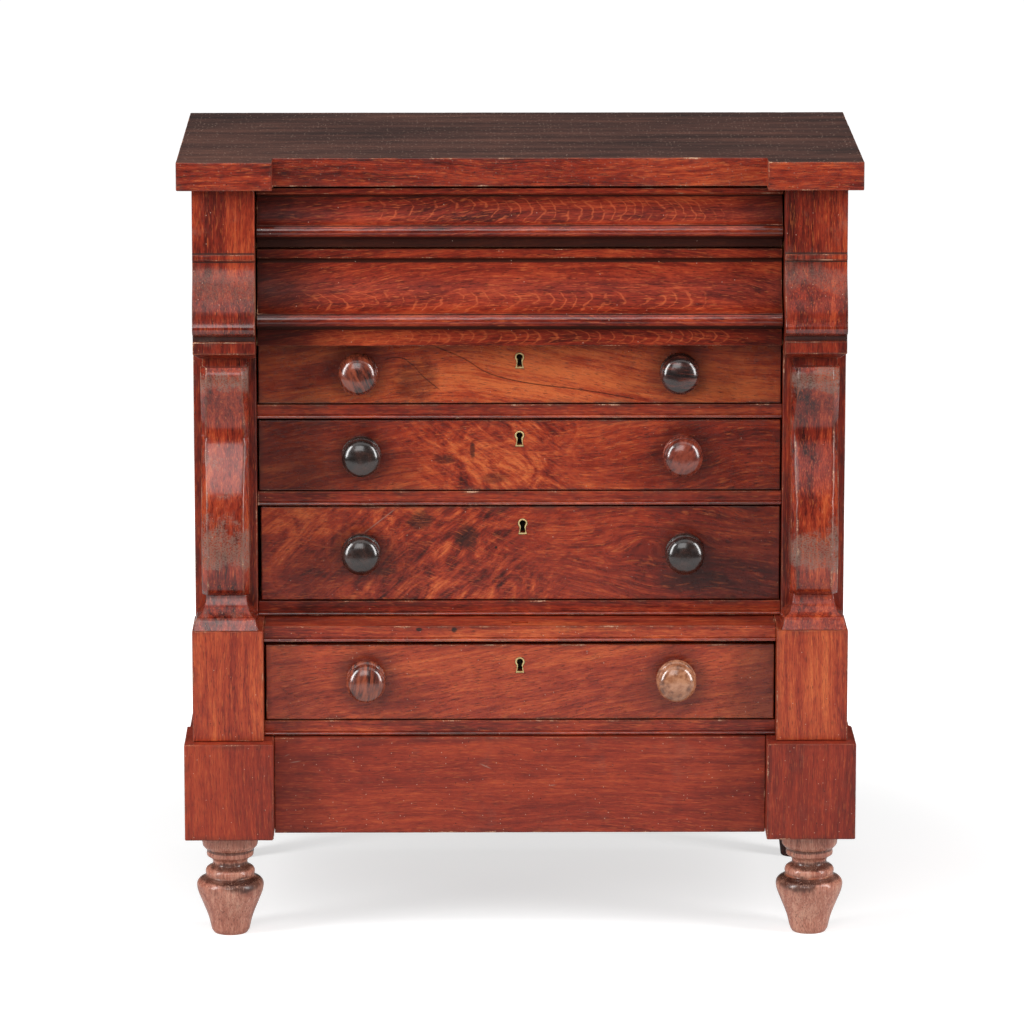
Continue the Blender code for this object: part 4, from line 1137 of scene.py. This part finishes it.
def keyhole(radius, height, flare, count=26):
    """A keyhole's outline about its middle, anticlockwise from the front: a round head over a shank that
    widens to a flat foot."""
    head = height / 2 - radius
    neck = radius * 0.62
    start = math.degrees(math.asin(-0.70))
    shank = [(-neck, head - radius * 1.25), (-flare, -height / 2), (flare, -height / 2),
             (neck, head - radius * 1.25)]
    return np.vstack((arc((0, head), radius, start, 180 - start, count), shank))


def plate_outline(by):
    """The keyhole plate's outline grown by that much all round."""
    return keyhole(PLATE_RADIUS + by, PLATE_HEIGHT + 2 * by, PLATE_RADIUS * 0.92 + by)


def keyhole_half(outline, up):
    """Half the width of a keyhole outline at each height: its right side read as a function of height."""
    right = outline[outline[:, 0] >= -1e-9]
    order = np.argsort(right[:, 1])
    return np.maximum(np.interp(up, right[order, 1], right[order, 0]), 0.00035)


def keyhole_bend(x, z, outer, inner):
    """Narrows the square seat and key way cut in a drawer front to a keyhole's shape: across each height,
    the two lines of cells either side go to half the outline's width, and the rest follow evenly."""
    wide, narrow = PLATE_RADIUS + GAP, PLATE_RADIUS - PLATE_RIM
    far = wide * 2.4

    def bend(points):
        away = points[:, 0] - x
        size, up = np.abs(away), points[:, 2] - z
        out, ins = keyhole_half(outer, up), keyhole_half(inner, up)
        first = size * ins / narrow
        second = ins + (size - narrow) * (out - ins) / (wide - narrow)
        third = out + (size - wide) * (far - out) / (far - wide)
        new = np.select((size <= narrow, size <= wide, size < far), (first, second, third), size)
        near = np.clip(1 - (np.abs(up) - PLATE_HEIGHT / 2 - GAP) / 0.004, 0, 1)
        moved = points.copy()
        moved[:, 0] = x + np.sign(away) * (size + (new - size) * near)
        return moved
    return bend


def make_plate(number, x, z, finish):
    """A keyhole plate: a flat ring between two keyhole outlines, its rim rounded over."""
    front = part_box("keyhole_plate_%d" % number)[0].y
    outer, inner = plate_outline(0), plate_outline(-PLATE_RIM)
    share = np.array((0, 0, 0.04, 0.15, 0.5, 0.85, 0.96, 1, 1))[:, None, None]
    depth = np.array((1, 0.22, 0.07, 0, 0, 0, 0.07, 0.22, 1)) * PLATE_THICK
    flat = outer[None] * (1 - share) + inner[None] * share
    deep = np.broadcast_to(front + depth[:, None], flat.shape[:2])
    points = np.stack((x + flat[..., 0], deep, z + flat[..., 1]), -1)
    quads = ring_quads(*flat.shape[:2], wrap=True)
    piece("keyhole_plate_%d" % number, points.reshape(-1, 3), quads, finish, sharp=50)


def make_flat_drawers():
    brass = metal("escutcheon_brass_aged", (0.80, 0.62, 0.30), (0.42, 0.28, 0.11), 0.40, 0.55)
    case = metal("lock_case_blackened", (0.035, 0.028, 0.020), (0.014, 0.011, 0.009), 0.50, 0.8)
    seat, way = plate_outline(GAP), plate_outline(-PLATE_RIM)
    looks = {
        1: dict(shift=(0.1, 0.1, 0.05), level=0.73, dust=0.03, ends=(-0.095, 0.135, 0.38),
                sweep=((-0.2, -0.01), (-0.09, 0.004), (-0.05, 0.008), (0.0, 0.0), (0.1, -0.022),
                       (0.2, -0.03)),
                spots=((-0.074, 0.404, 0.016, 0.018, 0.5),),
                veins=(((-0.099, 0.4172), (-0.088, 0.4199), (-0.079, 0.4157), (-0.070, 0.4063),
                        (-0.056, 0.3950)),
                       ((-0.064, 0.4293), (-0.040, 0.4189), (-0.020, 0.4074), (0.006, 0.4011),
                        (0.045, 0.3960), (0.085, 0.3890))),
                scratches=(((-0.1245, 0.3862), (-0.1185, 0.3935)),)),
        2: dict(shift=(0.7, 0.2, 0.35), level=0.57, dust=0.04, ends=(-0.085, 0.150, 0.58), sway=0.05,
                slope=-0.10, curl=(-0.030, 0.085, 1.0, -35),
                spots=((-0.034, 0.3520, 0.0020, 0.0065, 0.75), (-0.054, 0.3450, 0.009, 0.0035, 0.6),
                       (-0.018, 0.331, 0.010, 0.004, 0.5))),
        3: dict(shift=(0.25, 0.6, 0.75), level=0.53, dust=0.05, ends=(-0.185, 0.110, 0.38), sway=0.07,
                slope=0.15, curl=(-0.065, 0.15, 1.0, 40),
                spots=((-0.072, 0.300, 0.010, 0.007, 0.8), (-0.038, 0.288, 0.009, 0.010, 0.8),
                       (-0.017, 0.2797, 0.0011, 0.0011, 1.0), (-0.10, 0.262, 0.012, 0.003, 0.6),
                       (0.125, 0.255, 0.03, 0.008, 0.6)),
                scratches=(((-0.1150, 0.2890), (-0.1020, 0.2990), (-0.0885, 0.3096)),)),
        4: dict(shift=(0.55, 0.4, 0.15), level=0.64, dust=0.12, ends=(-0.16, 0.130, 0.6), slope=-0.16,
                bold=0.85),
    }
    wide, narrow = PLATE_RADIUS + GAP, PLATE_RADIUS - PLATE_RIM
    tall, short = PLATE_HEIGHT / 2 + GAP, PLATE_HEIGHT / 2 - PLATE_RIM
    ups = np.concatenate((np.linspace(-tall, tall, 17), (-short, short, tall - 0.0003, tall - 0.0006),
                          (short - 0.0003, short - 0.0006)))
    for number, left_x, right_x, knob_z, key_x, key_z in FLAT_DRAWERS:
        node = "drawer_%d_front" % number
        low, high = corners_of(node)
        seat_back = low[1] + PLATE_THICK + GAP
        pocket = high[1] - LOCK_THICK
        gone = (
            ((key_x - wide, low[1] - 1, key_z - tall), (key_x + wide, seat_back, key_z + tall)),
            ((key_x - narrow, seat_back - 1e-5, key_z - short),
             (key_x + narrow, pocket + 1e-5, key_z + short)),
            ((key_x - LOCK_HALF, pocket, high[2] - LOCK_HIGH), (key_x + LOCK_HALF, high[1] + 1, high[2] + 1)),
        )
        also_x = key_x + np.array((-LOCK_HALF, -wide * 2.4, -wide, -narrow, 0, narrow, wide, wide * 2.4,
                                   LOCK_HALF))
        also_z = np.append(key_z + np.unique(np.round(ups, 6)), high[2] - LOCK_HIGH)
        finish = mahogany("flame_mahogany_%d" % number, knobs=((left_x, knob_z), (right_x, knob_z)),
                          gloss=0.27, coat=0.2, grime_and_shade=0.7, wear=0.9 if number == 4 else 0.35, rim=0.75,
                          **looks[number])
        board(node, finish, edge=0.0006, pitch=(0.0028, 0.004, 0.004), gone=gone,
              also=(also_x, (seat_back, pocket), also_z), warp=keyhole_bend(key_x, key_z, seat, way),
              seed=140 + number, trim=(0.0014 if number == 3 else 0.0003, 0.0003))
        make_plate(number, key_x, key_z, brass)
        NODES["lock_case_%d" % number].material_slots[0].material = case


def make_knobs():
    """Turned knobs: a wide back ring on the drawer, a neck, and a domed face in front."""
    ring = flow(((0.0134, -0.0002), (0.0141, 0.0014), (0.0145, 0.0036), (0.0141, 0.0055), (0.0128, 0.0070),
                 (0.0114, 0.0080)), 6)
    dome = flow(((0.0111, 0.0088), (0.0122, 0.0104), (0.0136, 0.0124), (0.0142, 0.0146), (0.0138, 0.0166),
                 (0.0126, 0.0185), (0.0105, 0.0201), (0.0076, 0.0213), (0.0042, 0.0220), (0.0008, 0.0222)), 7)
    profile = np.vstack((ring, dome))
    worn = np.where((profile[:, 1] > 0.0076) & (profile[:, 1] < 0.0096), 0.2, 0.0)
    jet = (0.014, 0.007, 0.006)
    rosewood = turned_wood("knob_rosewood_dark", jet, (0.110, 0.022, 0.013), (0.26, 0.056, 0.026), (0, 22, 0),
                           (260, 40, 50), 0.46)
    red = turned_wood("knob_rosewood_red", (0.040, 0.010, 0.008), (0.140, 0.024, 0.014), (0.24, 0.048, 0.026),
                      (0, -30, 0), (210, 60, 90), 0.46)
    streaked = turned_wood("knob_rosewood_streaked", jet, (0.120, 0.024, 0.014), (0.30, 0.070, 0.032),
                           (0, -8, 0),
                           (320, 40, 50), 0.46)
    ebonised = turned_wood("knob_ebonised_black", (0.012, 0.008, 0.007), (0.022, 0.012, 0.010),
                           (0.045, 0.020, 0.015),
                           (0, 0, 0), (90, 60, 90), 0.50)
    streaky = turned_wood("knob_ebonised_streaked", (0.010, 0.006, 0.006), (0.035, 0.011, 0.009),
                          (0.130, 0.030, 0.018), (0, 84, 0), (420, 40, 40), 0.52)
    golden = turned_wood("knob_replaced_golden", (0.13, 0.045, 0.022), (0.34, 0.135, 0.065),
                         (0.50, 0.235, 0.130),
                         (0, 40, 0), (90, 90, 120), 0.47, gloss=0.2, rings=0.5)
    looks = {
        (1, "left"): (rosewood, "knob_rosewood"), (1, "right"): (streaky, "knob_ebonised"),
        (2, "left"): (ebonised, "knob_ebonised"), (2, "right"): (red, "knob_rosewood"),
        (3, "left"): (ebonised, "knob_ebonised"), (3, "right"): (ebonised, "knob_ebonised"),
        (4, "left"): (streaked, "knob_rosewood"), (4, "right"): (golden, "knob_replaced"),
    }
    for number, left_x, right_x, knob_z, _, _ in FLAT_DRAWERS:
        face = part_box("drawer_%d_front" % number)[0].y
        for x, word in ((left_x, "left"), (right_x, "right")):
            finish, slot = looks[number, word]
            turned("drawer_%d_knob_%s" % (number, word), profile, (x, face, knob_z), (0, -1, 0), finish,
                   steps=80, rough=0.00012, seed=160 + number, worn=worn)


def dress_hidden_parts():
    """CAD nodes that keep their shape: drawer boxes, dust boards, back board and lock bolts."""
    long_pine, back_pine = softwood("drawer_pine_long", "x"), softwood("drawer_pine_back", "z",
                                                                       (0.3, 0.2, 0.1))
    steel = metal("lock_steel_dull", (0.42, 0.41, 0.40), (0.13, 0.11, 0.10), 0.35)
    for name, node in NODES.items():
        if name.endswith("_tray") or name.endswith("dust_board"):
            node.material_slots[0].material = long_pine
        elif name == "back_board":
            node.material_slots[0].material = back_pine
        elif name.startswith("lock_bolt"):
            node.material_slots[0].material = steel


make_camera()
make_studio()
make_top()
make_carcase()
make_rails()
make_capitals()
make_consoles()
make_plinth()
make_feet()
make_frieze_drawers()
make_flat_drawers()
make_knobs()
dress_hidden_parts()
